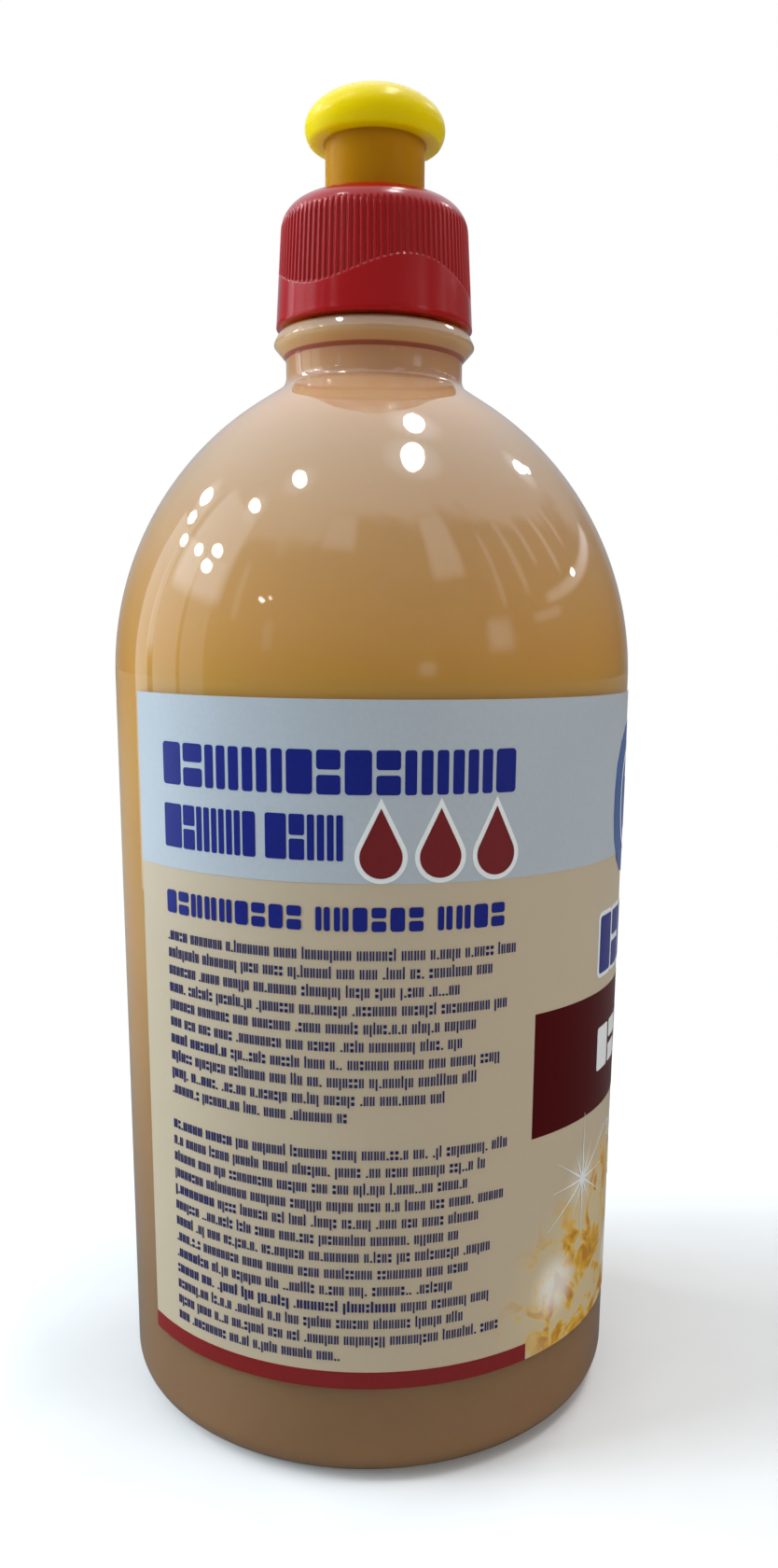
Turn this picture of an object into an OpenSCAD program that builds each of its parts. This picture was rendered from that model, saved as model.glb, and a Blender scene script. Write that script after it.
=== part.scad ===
// Liquid soap bottle: a clear blown bottle, its soap, a wrap label with flat print, and a push-pull screw closure.
// Z runs up the axis, the bottle stands on z = 0, and -Y is the side that a viewer faces.

/* [Bottle body] */
// Outer diameter of the round body
body_d = 90; // [80:1:100]
// Height at which the straight wall ends and the shoulder starts
body_top = 130.3; // [120:0.1:150]
// Radius of the heel, between the wall and the standing ring
heel_r = 6.3; // [4:0.1:9]
// Radius of the shoulder's round section
shoulder_r = 53.6; // [50:0.2:58]
// Sweep of the shoulder's round section, in degrees, before it runs straight to the neck
shoulder_sweep = 57.8; // [50:0.2:60]
// Thickness of the blown wall
wall = 0.6; // [0.4:0.1:1]
// Diameter of the push-up in the base
pushup_d = 60; // [40:1:68]
// Height of the push-up at its middle
pushup_h = 6; // [3:0.5:9]

/* [Neck] */
// Outer diameter of the neck between shoulder and ring
neck_d = 30; // [28:0.5:34]
// Thickness of the neck's wall
neck_wall = 1.4; // [1:0.1:1.8]
// Height of the straight neck, from the shoulder to the ring's underside
neck_h = 4.2; // [3:0.1:8]
// Outer diameter of the support ring at its tip
ring_d = 34; // [32.5:0.1:36]
// Height of the support ring's underside slope
ring_under_h = 2.4; // [1.5:0.1:3.5]
// Height of the support ring's upper slope
ring_upper_h = 1.9; // [1:0.1:3]
// Diameter at the top of the ring's upper slope
ring_top_d = 32.2; // [31:0.1:32.4]

/* [Finish] */
// Diameter of the finish at the root of its thread
finish_d = 25.4; // [25:0.1:25.8]
// Height of the finish, from the support ring to the lip
finish_h = 17.6; // [16:0.1:20]
// Bore of the finish
bore_d = 21.7; // [21:0.1:22.5]
// Pitch of the closure's thread
thread_pitch = 4.23; // [3.8:0.01:4.6]
// Depth of the bottle's thread
thread_depth = 1.1; // [0.8:0.05:1.25]
// Turns of thread on the finish
thread_turns = 1.5; // [1:0.25:1.75]

/* [Soap] */
// Height of the soap's surface above the floor
fill_z = 188.6; // [150:0.1:192]

/* [Cap] */
// Outer diameter of the skirt at its foot
cap_foot_d = 33.2; // [32.6:0.1:35]
// Outer diameter of the skirt where the top edge starts to round
cap_top_d = 31.4; // [31:0.1:32.4]
// Radius of the rounded top edge
cap_edge_r = 5; // [3.5:0.1:5.5]
// Thickness of the deck
deck_t = 1.6; // [1.2:0.1:2]
// Number of grip grooves round the skirt
grip_count = 96; // [60:2:110]
// Depth of a grip groove
grip_depth = 0.35; // [0.2:0.05:0.45]
// Width of a grip groove
grip_w = 0.62; // [0.4:0.02:0.7]
// Height of the grip's wavy lower edge above the skirt's foot, at its lowest
wave_low = 4.6; // [3:0.1:6]
// Height of each wave
wave_h = 3.9; // [2:0.1:6]

/* [Pull top] */
// Outer diameter of the stem
stem_d = 16.5; // [15.9:0.1:17]
// Wall of the stem
stem_wall = 1; // [0.8:0.05:1.2]
// Length of stem that shows between deck and head when closed
stem_show = 8.9; // [7:0.1:12]
// Depth that the stem sits in the cap's well when closed
stem_sunk = 8.7; // [8:0.1:10]
// Outer diameter of the head
head_d = 23.2; // [21:0.1:26]
// Height of the head
head_h = 8.4; // [7.5:0.1:10]
// Diameter of the outlet
outlet_d = 4.2; // [3.6:0.1:4.6]
// Travel from closed to open
pull_travel = 5.5; // [4:0.1:6]

/* [Label] */
// Width of the bare strip between the film's two ends
bare_w = 28.7; // [20:0.1:40]
// Height of the film
label_h = 110.8; // [95:0.1:112]
// Height of the film's lower edge above the floor
label_z = 17.8; // [10:0.1:18]
// Angle of the film's left edge from the front, in degrees
label_start = -56.3; // [-70:0.1:-40]
// Width of each panel of small print
text_panel_w = 72; // [66:0.5:76]
// Height of the pale blue field at the film's top
sky_h = 27.2; // [20:0.1:32]
// Height of the red line at the film's foot
foot_line_h = 3; // [2:0.1:4]
// Height of the dark red band's lower edge above the film's foot
band_y = 39.6; // [30:0.1:45]
// Height of the dark red band
band_h = 21.2; // [15:0.1:25]

/* [Hidden] */
$fn = 96;

// Clearances between pieces
soap_gap = 0.05;
cap_gap = 0.6;
thread_gap = 0.25;
slide_gap = 0.2;
well_gap = 0.3;
plug_gap = 1.15;
liner_gap = 0.2;

// Thin plies of the label, each drawn thick enough to be a solid
glue_t = 0.03;
film_t = 0.1;
ink_t = 0.04;
ply_gap = 0.01;
// Facets round the label, so fine that the plies' flats stay clear of each other
label_fn = 360;

body_r = body_d / 2;
neck_r = neck_d / 2;
shoulder_cx = body_r - shoulder_r;
neck_z = shoulder_z(0, neck_r);
ring_low_z = neck_z + neck_h;
ring_tip_z = ring_low_z + ring_under_h;
ring_top_z = ring_tip_z + ring_upper_h;
ring_edge = 0.3;
finish_r = finish_d / 2;
bore_r = bore_d / 2;
lip_z = ring_top_z + finish_h;
lip_chamfer = 0.4;
cut_over = 1;
gate_d = 3;
gate_h = 0.8;

// Thread: widths of its section at foot and crest, and how far the foot is sunk in the wall that carries it
thread_foot_w = 2.3;
thread_crest_w = 1.2;
thread_sunk = 0.3;
thread_steps = 30;
thread_run_out = 25;
thread_tip = 0.04;
thread_drop = 3.2;
thread_top_z = lip_z - thread_drop;
thread_start_z = thread_top_z - thread_pitch * thread_turns;

liner_t = 1.3;
cap_foot_z = ring_top_z + cap_gap;
deck_low_z = lip_z + liner_t;
deck_z = deck_low_z + deck_t;
skirt_bore_r = finish_r + thread_depth + thread_gap;
skirt_round_z = deck_z - cap_edge_r;
skirt_corner = 1.2;
cap_thread_depth = 1;
cap_thread_foot_w = 2;
cap_thread_crest_w = 1;
cap_thread_skip = 90;
draft = atan((cap_foot_d - cap_top_d) / 2 / (skirt_round_z - cap_foot_z));
wave_count = 3;
wave_rise = 60;
wave_trough = -36;
grip_rise = 2.2;
grip_flank = 0.05;
grip_over = 0.4;
grip_top_z = skirt_round_z + grip_rise;

// Spout: the well in the deck, the tower in the well and the pin on the tower
stem_r = stem_d / 2;
stem_foot_z = deck_z - stem_sunk;
stem_bore_r = stem_r - stem_wall;
stem_lip = 0.45;
stem_lip_r = stem_bore_r - stem_lip;
stem_lip_h = 1.2;
stem_lip_slope = 0.4;
tower_r = stem_lip_r - slide_gap;
tower_wall = 1.2;
tower_rise = 0.7;
tower_chamfer = 0.5;
bead_r = stem_bore_r - slide_gap;
bead_h = 1;
bead_z = stem_foot_z + stem_lip_h + pull_travel + slide_gap;
well_r = stem_r + well_gap;
well_wall = bore_r - plug_gap - well_r;
well_floor_z = stem_foot_z - well_gap;
well_floor_t = 1.2;
head_z = deck_z + stem_show;
head_r = head_d / 2;
head_belly_h = 2.27;
head_mid_z = head_z + head_belly_h;
head_round_h = head_h - head_belly_h;
head_round_start = -18;
head_undercut = 0.9;
head_under_r = head_r - head_undercut;
outlet_r = outlet_d / 2;
outlet_land = 2.1;
outlet_chamfer = 0.5;
outlet_edge_h = 0.3;
dish_r = 3.4;
dish_h = 0.35;
outlet_top_z = head_z + head_h - dish_h;
ceiling_h = 2.7;
ceiling_z = head_z + ceiling_h;
tower_top_z = head_z + tower_rise;
pin_r = outlet_r - slide_gap;
pin_drop = 0.4;
pin_top_z = outlet_top_z - pin_drop;
spoke_w = 1.6;
spoke_h = 2;
spoke_count = 3;

// Angles and lengths on the label's face
deg_per_mm = 180 / PI / body_r;
label_w = PI * body_d - bare_w;
film_r = body_r + glue_t;
print_r = film_r + film_t + ply_gap;
front_w = label_w - 2 * text_panel_w;

// Text panels: bare strips beside the print, and how far each line's foot lies under the film's top edge
print_margin = 7.8;
print_end = 5;
title_down = 13.9;
title_h = 6.6;
second_down = 23.8;
second_h = 6.9;
second_share = 0.52;
third_down = 34.5;
third_h = 3.7;
upper_down = 38.4;
upper_lines = 10;
lower_down = 70.5;
lower_lines = 13;
line_pitch = 2.9;
line_h = 1.25;
last_line_short = 0.45;

// Row of drops beside the second title
drop_x = 45.5;
drop_down = 23.2;
drop_r = 3.2;
drop_pitch = 9;
drop_count = 3;
drop_point = 2.3;

// Front panel: the navy shape and its white bar, and the two bars at the dark red band
shape_w = 62;
shape_down = 31;
shape_h = 23;
shape_bar_w = 42;
shape_bar_down = 24;
shape_bar_h = 9;
bar_w = 74;
bar_rise = 3.1;
bar_h = 10;
band_bar_h = 7.8;

// Points of an arc about c, from angle a0 to a1 in n steps
function arc(c, r, a0, a1, n) = [for (i = [0:n]) let (a = a0 + (a1 - a0) * i / n) c + r * [cos(a), sin(a)]];

// Height at which the shoulder, moved inwards by d, comes to radius x on its straight run to the neck
function shoulder_z(d, x) =
    let (end = [shoulder_cx, body_top] + (shoulder_r - d) * [cos(shoulder_sweep), sin(shoulder_sweep)])
    end[1] + (end[0] - x) / tan(shoulder_sweep);

// The body's half section moved inwards by d, from the axis at the base up to radius neck_x on the shoulder
function body_section(d, neck_x) =
    let (ball_r = (pow(pushup_d / 2, 2) + pow(pushup_h, 2)) / (2 * pushup_h))
    let (foot_r = sqrt(pow(ball_r + d, 2) - pow(ball_r - pushup_h + d, 2)))
    let (half = asin(foot_r / (ball_r + d)))
    concat(
        arc([0, pushup_h - ball_r], ball_r + d, 90, 90 - half, 10),
        arc([body_r - heel_r, heel_r], heel_r - d, -90, 0, 10),
        arc([shoulder_cx, body_top], shoulder_r - d, 0, shoulder_sweep, 36),
        [[neck_x, shoulder_z(d, neck_x)]]
    );

// The space inside the bottle as a half section, moved inwards by d
function inside_section(d) = concat(
    body_section(wall + d, neck_r - neck_wall - d),
    [
        [neck_r - neck_wall - d, ring_low_z],
        [bore_r - d, ring_top_z],
        [bore_r - d, lip_z + cut_over],
        [0, lip_z + cut_over]
    ]
);

// Share of full height at angle a within one wave, which rises slower than it falls
function wave(a) =
    let (period = 360 / wave_count)
    let (p = (a - wave_trough) - period * floor((a - wave_trough) / period))
    p < wave_rise ? (1 - cos(180 * p / wave_rise)) / 2 : (1 + cos(180 * (p - wave_rise) / (period - wave_rise))) / 2;

// A helical thread from angle a0 to a1, its foot at radius r, its crest a depth further out, or inwards if negative
module thread(r, depth, foot_w, crest_w, z0, a0, a1) {
    n = ceil((a1 - a0) / 360 * thread_steps);
    side = sign(depth);
    function rise(a) = min(1, (a - a0) / thread_run_out, (a1 - a) / thread_run_out);
    function ring(i) =
        let (a = a0 + (a1 - a0) * i / n)
        let (z = z0 + thread_pitch * a / 360)
        let (crest = r + depth * max(thread_tip, rise(a)))
        let (foot = r - side * thread_sunk)
        [for (p = [
            [foot, -foot_w / 2], [crest, -crest_w / 2], [crest, crest_w / 2], [foot, foot_w / 2]
        ]) [p[0] * cos(a), p[0] * sin(a), z + p[1]]];
    points = [for (i = [0:n]) each ring(i)];
    sides = [for (i = [0:n - 1], k = [0:3])
        let (p = 4 * i + k, q = 4 * i + (k + 1) % 4)
        each (side > 0 ? [[p, q, q + 4], [p, q + 4, p + 4]] : [[q, p, q + 4], [q + 4, p, p + 4]])];
    last = 4 * n;
    ends = side > 0
        ? [[2, 1, 0], [3, 2, 0], [last, last + 1, last + 2], [last, last + 2, last + 3]]
        : [[0, 1, 2], [0, 2, 3], [last + 2, last + 1, last], [last + 3, last + 2, last]];
    polyhedron(points = points, faces = concat(sides, ends));
}

// A patch on the label: x and y are millimetres from the film's lower left corner, and level is the ink it lies on
module patch(x, y, w, h, level = 0) {
    rotate([0, 0, label_start - 90 + x * deg_per_mm])
        rotate_extrude(angle = w * deg_per_mm, $fn = label_fn)
            translate([print_r + level * (ink_t + ply_gap), label_z + y])
                square([ink_t, h]);
}

// A drop standing on the label with its middle at x, y: a round foot of radius r and a pointed top
module drop(x, y, r, level = 0) {
    tip = drop_point * r;
    side = asin(r / tip);
    rotate([0, 0, label_start + x * deg_per_mm])
        intersection() {
            translate([0, -body_r / 2, label_z + y])
                rotate([90, 0, 0])
                    linear_extrude(height = body_r) {
                        circle(r = r);
                        polygon([[-r * cos(side), r * sin(side)], [0, tip], [r * cos(side), r * sin(side)], [0, 0]]);
                    }
            rotate_extrude($fn = label_fn)
                translate([print_r + level * (ink_t + ply_gap), label_z])
                    square([ink_t, label_h]);
        }
}

// A patch of width w in the middle of the front panel
module front_patch(y, w, h, level) {
    patch(text_panel_w + (front_w - w) / 2, y, w, h, level);
}

// Lines of small print in a column at x, the first line's middle at height y, with uneven line ends
module print_lines(x, y, w, count) {
    for (i = [0:count - 1]) {
        short = i == count - 1 ? last_line_short : (i * 37 % 11) / 60;
        patch(x, y - i * line_pitch - line_h / 2, w * (1 - short), line_h, 1);
    }
}

// The navy print of one text panel that starts at x
module text_panel(x) {
    print_w = text_panel_w - print_margin - print_end;
    patch(x + print_margin, label_h - title_down, print_w, title_h, 1);
    patch(x + print_margin, label_h - second_down, second_share * print_w, second_h, 1);
    patch(x + print_margin, label_h - third_down, print_w, third_h, 1);
    print_lines(x + print_margin, label_h - upper_down, print_w, upper_lines);
    print_lines(x + print_margin, label_h - lower_down, print_w, lower_lines);
}

module bottle() {
    color([0.86, 0.82, 0.74, 0.35]) {
        difference() {
            rotate_extrude()
                polygon(concat(
                    body_section(0, neck_r),
                    [
                        [neck_r, ring_low_z],
                        [ring_d / 2, ring_tip_z - ring_edge / 2],
                        [ring_d / 2, ring_tip_z + ring_edge / 2],
                        [ring_top_d / 2, ring_top_z],
                        [finish_r, ring_top_z],
                        [finish_r, lip_z - lip_chamfer],
                        [finish_r - lip_chamfer, lip_z],
                        [0, lip_z]
                    ]
                ));
            rotate_extrude()
                polygon(inside_section(0));
        }
        translate([0, 0, pushup_h - gate_h])
            cylinder(d = gate_d, h = gate_h + wall / 2);
        thread(finish_r, thread_depth, thread_foot_w, thread_crest_w, thread_start_z, 0, 360 * thread_turns);
    }
}

module soap() {
    color([0.76, 0.6, 0.42])
        rotate_extrude()
            intersection() {
                polygon(inside_section(soap_gap));
                square([body_r, fill_z]);
            }
}

module label_film() {
    color([0.87, 0.82, 0.7])
        rotate([0, 0, label_start - 90])
            rotate_extrude(angle = label_w * deg_per_mm, $fn = label_fn)
                translate([film_r, label_z])
                    square([film_t, label_h]);
}

module label_sky_print() {
    color([0.72, 0.8, 0.87])
        patch(0, label_h - sky_h, label_w, sky_h);
}

module label_red_print() {
    front_x = text_panel_w;
    color([0.42, 0.06, 0.08]) {
        for (x = [0, front_x + front_w])
            patch(x, 0, text_panel_w, foot_line_h);
        patch(front_x, band_y, front_w, band_h);
        for (panel = [0, front_x + front_w], i = [0:drop_count - 1])
            drop(panel + drop_x + drop_pitch * i, label_h - drop_down, drop_r, 1);
    }
}

module label_navy_print() {
    color([0.06, 0.12, 0.48]) {
        text_panel(0);
        text_panel(text_panel_w + front_w);
        front_patch(label_h - shape_down, shape_w, shape_h, 1);
        front_patch(band_y + band_h + bar_rise, bar_w, bar_h, 1);
    }
}

module label_white_print() {
    color([0.93, 0.93, 0.9]) {
        front_patch(band_y + (band_h - band_bar_h) / 2, bar_w, band_bar_h, 1);
        front_patch(label_h - shape_bar_down, shape_bar_w, shape_bar_h, 2);
    }
}

module cap_liner() {
    color([0.93, 0.93, 0.9])
        translate([0, 0, lip_z])
            rotate_extrude()
                translate([well_r + well_wall + liner_gap, 0])
                    square([finish_r - liner_gap / 2 - (well_r + well_wall + liner_gap), liner_t]);
}

// The groove at angle a from the front, cut along the slope of the skirt
module grip_groove(a) {
    low = cap_foot_z + wave_low + wave_h * wave(a);
    foot_r = cap_foot_d / 2 - (low - cap_foot_z) * tan(draft);
    rotate([0, 0, a - 90])
        translate([foot_r, 0, low])
            rotate([0, -draft, 0])
                linear_extrude(height = (grip_top_z - low) / cos(draft))
                    polygon([
                        [-grip_depth, 0],
                        [grip_flank, -grip_w / 2],
                        [grip_over, -grip_w / 2],
                        [grip_over, grip_w / 2],
                        [grip_flank, grip_w / 2]
                    ]);
}

// Skirt, deck, well and tower as one half section
module cap_section() {
    polygon(concat(
        [
            [skirt_bore_r, cap_foot_z],
            [cap_foot_d / 2, cap_foot_z]
        ],
        arc([cap_top_d / 2 - cap_edge_r, skirt_round_z], cap_edge_r, 0, 90, 12),
        [
            [well_r, deck_z],
            [well_r, well_floor_z],
            [tower_r, well_floor_z],
            [tower_r, bead_z],
            [bead_r, bead_z + bead_h / 2],
            [tower_r, bead_z + bead_h],
            [tower_r, tower_top_z - tower_chamfer],
            [tower_r - tower_chamfer, tower_top_z],
            [tower_r - tower_wall, tower_top_z],
            [tower_r - tower_wall, well_floor_z - well_floor_t],
            [well_r + well_wall, well_floor_z - well_floor_t],
            [well_r + well_wall, deck_low_z],
            [skirt_bore_r - skirt_corner, deck_low_z],
            [skirt_bore_r, deck_low_z - skirt_corner]
        ]
    ));
}

module cap() {
    color([0.68, 0.08, 0.11]) {
        difference() {
            rotate_extrude()
                cap_section();
            for (i = [0:grip_count - 1])
                grip_groove(360 * i / grip_count);
        }
        for (i = [0:spoke_count - 1])
            rotate([0, 0, 360 * i / spoke_count])
                translate([0, -spoke_w / 2, tower_top_z - spoke_h])
                    cube([tower_r - tower_wall / 2, spoke_w, spoke_h]);
        translate([0, 0, tower_top_z - spoke_h])
            cylinder(r = pin_r, h = pin_top_z - tower_top_z + spoke_h);
        thread(skirt_bore_r, -cap_thread_depth, cap_thread_foot_w, cap_thread_crest_w,
            thread_start_z - thread_pitch / 2, cap_thread_skip, 360 * thread_turns);
    }
}

module pull_top() {
    round_end = acos(dish_r / head_r);
    color([0.85, 0.76, 0.04])
        rotate_extrude()
            polygon(concat(
                [
                    [stem_lip_r, stem_foot_z],
                    [stem_r, stem_foot_z],
                    [stem_r, head_z],
                    [head_under_r, head_z]
                ],
                [for (i = [0:15])
                    let (a = head_round_start + (round_end - head_round_start) * i / 15)
                    [head_r * cos(a), head_mid_z + head_round_h * sin(a)]],
                [
                    [outlet_r + outlet_chamfer, outlet_top_z],
                    [outlet_r, outlet_top_z - outlet_edge_h],
                    [outlet_r, outlet_top_z - outlet_land],
                    [stem_bore_r, ceiling_z],
                    [stem_bore_r, stem_foot_z + stem_lip_h + stem_lip_slope],
                    [stem_lip_r, stem_foot_z + stem_lip_h]
                ]
            ));
}

bottle();
soap();
label_film();
label_sky_print();
label_red_print();
label_navy_print();
label_white_print();
cap_liner();
cap();
pull_top();
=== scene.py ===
"""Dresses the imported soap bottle: clear wall, soap, printed wrap label, ribbed screw cap and pull top."""
import logging
import math
import random
from collections.abc import Callable
from dataclasses import dataclass
from enum import Enum

import bpy
import numpy as np
from mathutils import Matrix, Vector


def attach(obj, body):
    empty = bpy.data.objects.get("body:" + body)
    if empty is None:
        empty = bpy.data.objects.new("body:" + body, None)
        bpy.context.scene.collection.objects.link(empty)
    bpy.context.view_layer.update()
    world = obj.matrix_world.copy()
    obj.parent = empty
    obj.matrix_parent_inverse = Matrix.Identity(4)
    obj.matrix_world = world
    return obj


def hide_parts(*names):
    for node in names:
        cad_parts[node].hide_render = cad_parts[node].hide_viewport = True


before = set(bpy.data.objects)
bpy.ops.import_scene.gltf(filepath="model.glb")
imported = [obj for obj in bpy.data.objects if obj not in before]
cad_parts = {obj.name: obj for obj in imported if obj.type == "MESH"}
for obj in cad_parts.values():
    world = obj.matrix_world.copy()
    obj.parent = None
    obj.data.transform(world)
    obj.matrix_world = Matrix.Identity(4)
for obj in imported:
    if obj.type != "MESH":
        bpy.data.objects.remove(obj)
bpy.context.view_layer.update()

log = logging.getLogger("soap_bottle")

MM = 0.001
TURN = 2 * math.pi
MOTTLE = (0.3, 0.7)
Point = tuple[float, float]
Socket = bpy.types.NodeSocket
Colour = tuple[float, float, float, float]


class Body(Enum):
    """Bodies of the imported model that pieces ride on."""

    BOTTLE = "bottle"
    CAP = "cap"
    PULL_TOP = "pull_top"


class Slot(Enum):
    """Material slots of the record."""

    CLEAR_PET = "clear_pet"
    SOAP = "soap"
    FILM = "label_film"
    SKY = "sky_ink"
    RED_INK = "red_ink"
    NAVY_INK = "navy_ink"
    WHITE_INK = "white_ink"
    RED_PLASTIC = "red_plastic"
    YELLOW_PLASTIC = "yellow_plastic"


# Colour and node helpers


def tint(red: int, green: int, blue: int) -> Colour:
    """Turns a screen colour of 0 to 255 into the linear colour that a shader takes.

    Args:
        red: Red part.
        green: Green part.
        blue: Blue part.

    Returns:
        The linear colour with full alpha.
    """
    def straight(part: float) -> float:
        """One channel, with the screen's curve taken out."""
        return part / 12.92 if part <= 0.04045 else ((part + 0.055) / 1.055) ** 2.4

    return (straight(red / 255), straight(green / 255), straight(blue / 255), 1.0)


WHITE: Colour = (1.0, 1.0, 1.0, 1.0)


class Board:
    """A node tree, with short ways to place and join its nodes."""

    def __init__(self, tree: bpy.types.NodeTree) -> None:
        """Takes the tree that the nodes go on."""
        self.tree = tree

    def add(self, kind: str, settings: dict | None = None, **inputs: object) -> bpy.types.Node:
        """Places one node.

        Args:
            kind: The node's type name.
            settings: Properties of the node itself.
            inputs: Values or sockets for its inputs, by input name with _ for a space.

        Returns:
            The new node.
        """
        node = self.tree.nodes.new(kind)
        for key, value in (settings or {}).items():
            setattr(node, key, value)
        for key, value in inputs.items():
            self.feed(node, key.replace("_", " "), value)
        return node

    def feed(self, node: bpy.types.Node, name: str | int, value: object) -> None:
        """Sets one input to a value, or joins a socket to it."""
        if isinstance(value, Socket):
            self.tree.links.new(value, node.inputs[name])
        else:
            node.inputs[name].default_value = value

    def chain(self, kind: str, settings: dict, values: tuple, first: int = 0) -> bpy.types.Node:
        """Places a node whose inputs are given in order.

        Args:
            kind: The node's type name.
            settings: Properties of the node itself.
            values: Its inputs in order.
            first: Number of the input that takes the first value.

        Returns:
            The new node.
        """
        node = self.add(kind, settings)
        for number, value in enumerate(values, first):
            self.feed(node, number, value)
        return node

    def maths(self, operation: str, *values: object) -> Socket:
        """The value of one Math node, with its inputs in order."""
        return self.chain("ShaderNodeMath", {"operation": operation}, values).outputs[0]

    def vectors(self, operation: str, *values: object) -> bpy.types.bpy_prop_collection:
        """The outputs of one Vector Math node, with its inputs in order."""
        return self.chain("ShaderNodeVectorMath", {"operation": operation}, values).outputs

    def ramp(self, value: object, low: float, high: float, start: float = 0.0,
             end: float = 1.0) -> Socket:
        """A smooth step of a value.

        Args:
            value: The value or its socket.
            low: Where the step starts.
            high: Where it ends.
            start: What it gives before the step.
            end: What it gives after the step.

        Returns:
            The stepped value.
        """
        settings = {"interpolation_type": "SMOOTHSTEP"}
        return self.chain("ShaderNodeMapRange", settings, (value, low, high, start, end)).outputs[0]

    def blend(self, share: object, first: object, second: object) -> Socket:
        """A mix of two colours, with a share of the second."""
        node = self.chain("ShaderNodeMix", {"data_type": "RGBA", "blend_type": "MIX"}, (first, second), 6)
        self.feed(node, 0, share)
        return node.outputs[2]

    def level(self, share: object, first: object, second: object) -> Socket:
        """A mix of two numbers, with a share of the second."""
        node = self.chain("ShaderNodeMix", {"data_type": "FLOAT"}, (first, second), 2)
        self.feed(node, 0, share)
        return node.outputs[0]

    def mixed(self, share: object, *shaders: Socket) -> Socket:
        """A mix of two shaders, with a share of the second."""
        return self.chain("ShaderNodeMixShader", {}, (share, *shaders)).outputs[0]

    def where(self) -> Socket:
        """Object coordinates."""
        return self.add("ShaderNodeTexCoord").outputs["Object"]

    def height(self) -> Socket:
        """Height above the floor in metres."""
        return self.add("ShaderNodeSeparateXYZ", Vector=self.where()).outputs[2]

    def noise(self, place: object, scale: object, detail: float, twist: float = 0.0) -> Socket:
        """Value of a noise texture at a place."""
        made = self.add("ShaderNodeTexNoise", Vector=place, Scale=scale, Detail=detail, Distortion=twist)
        return made.outputs[0]

    def bump(self, height: object, strength: float, distance: float) -> Socket:
        """The normal over a height, raised by at most a distance in metres."""
        return self.add("ShaderNodeBump", Height=height, Strength=strength, Distance=distance).outputs[0]

    def shader(self, **inputs: object) -> Socket:
        """A Principled shader with these inputs."""
        return self.add("ShaderNodeBsdfPrincipled", **inputs).outputs[0]


class Grains:
    """Node groups that more than one finish uses, each built once."""

    made: dict[str, bpy.types.NodeTree] = {}

    @staticmethod
    def start(name: str, inputs: dict[str, float],
              outputs: tuple[str, ...]) -> tuple[Board, bpy.types.bpy_prop_collection, bpy.types.Node]:
        """Starts a group with float sockets.

        Args:
            name: The group's name.
            inputs: Input names with their default values.
            outputs: Output names.

        Returns:
            A board on the group, what it is given, and the node that takes its outputs.
        """
        group = bpy.data.node_groups.new(name, "ShaderNodeTree")
        for label, value in inputs.items():
            socket = group.interface.new_socket(label, in_out="INPUT", socket_type="NodeSocketFloat")
            socket.default_value = value
        for label in outputs:
            group.interface.new_socket(label, in_out="OUTPUT", socket_type="NodeSocketFloat")
        board = Board(group)
        return board, board.add("NodeGroupInput").outputs, board.add("NodeGroupOutput")

    @classmethod
    def moulded(cls) -> bpy.types.NodeTree:
        """Fine grain and soft sink of moulded plastic, as a height and a roughness."""
        board, given, ends = cls.start(
            "moulded_grain", {"Scale": 900.0, "Sink Scale": 60.0, "Gloss": 0.3, "Spread": 0.06},
            ("Height", "Roughness", "Mottle")
        )
        fine_share = 0.35
        place = board.where()
        grain = board.noise(place, given["Scale"], 3.0)
        sink = board.noise(place, given["Sink Scale"], 2.0)
        swing = board.maths("MULTIPLY", board.maths("SUBTRACT", sink, 0.5), given["Spread"])
        board.feed(ends, "Height", board.maths("ADD", board.maths("MULTIPLY", grain, fine_share), sink))
        board.feed(ends, "Roughness", board.maths("ADD", given["Gloss"], swing))
        board.feed(ends, "Mottle", board.ramp(sink, *MOTTLE))
        return board.tree

    @classmethod
    def printed(cls) -> bpy.types.NodeTree:
        """Grain of ink on film: a mottle for the colour and a roughness."""
        board, given, ends = cls.start("printed_grain", {"Scale": 1500.0, "Gloss": 0.42},
                                       ("Mottle", "Roughness"))
        cloud_scale, speck_share, gloss_swing = 45.0, 0.55, 0.08
        place = board.where()
        speck = board.maths("MULTIPLY", board.noise(place, given["Scale"], 2.0), speck_share)
        cloud = board.noise(place, cloud_scale, 3.0)
        mottle = board.maths("ADD", speck, board.maths("MULTIPLY", cloud, 1 - speck_share))
        swing = board.maths("MULTIPLY", cloud, gloss_swing)
        board.feed(ends, "Mottle", board.ramp(mottle, *MOTTLE))
        board.feed(ends, "Roughness", board.maths("ADD", given["Gloss"], swing))
        return board.tree

    @classmethod
    def rippled(cls) -> bpy.types.NodeTree:
        """Slow ripple that blowing leaves in a clear wall and in what shows through it."""
        board, given, ends = cls.start("blown_ripple", {"Scale": 28.0}, ("Height", "Cloud"))
        drawn_out = (1.0, 1.0, 0.35)
        place = board.where()
        squeezed = board.add("ShaderNodeMapping", Vector=place, Scale=drawn_out).outputs[0]
        board.feed(ends, "Height", board.noise(squeezed, given["Scale"], 1.5))
        board.feed(ends, "Cloud", board.ramp(board.noise(place, given["Scale"], 4.0, 0.6), *MOTTLE))
        return board.tree

    @classmethod
    def place(cls, board: Board, kind: str, **inputs: float) -> bpy.types.bpy_prop_collection:
        """Places one of the groups on a board.

        Args:
            board: The board that it goes on.
            kind: Name of the method that builds the group.
            inputs: Values for its inputs.

        Returns:
            The outputs of the group node.
        """
        if kind not in cls.made:
            cls.made[kind] = getattr(cls, kind)()
        return board.add("ShaderNodeGroup", {"node_tree": cls.made[kind]}, **inputs).outputs


# Finishes


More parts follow.
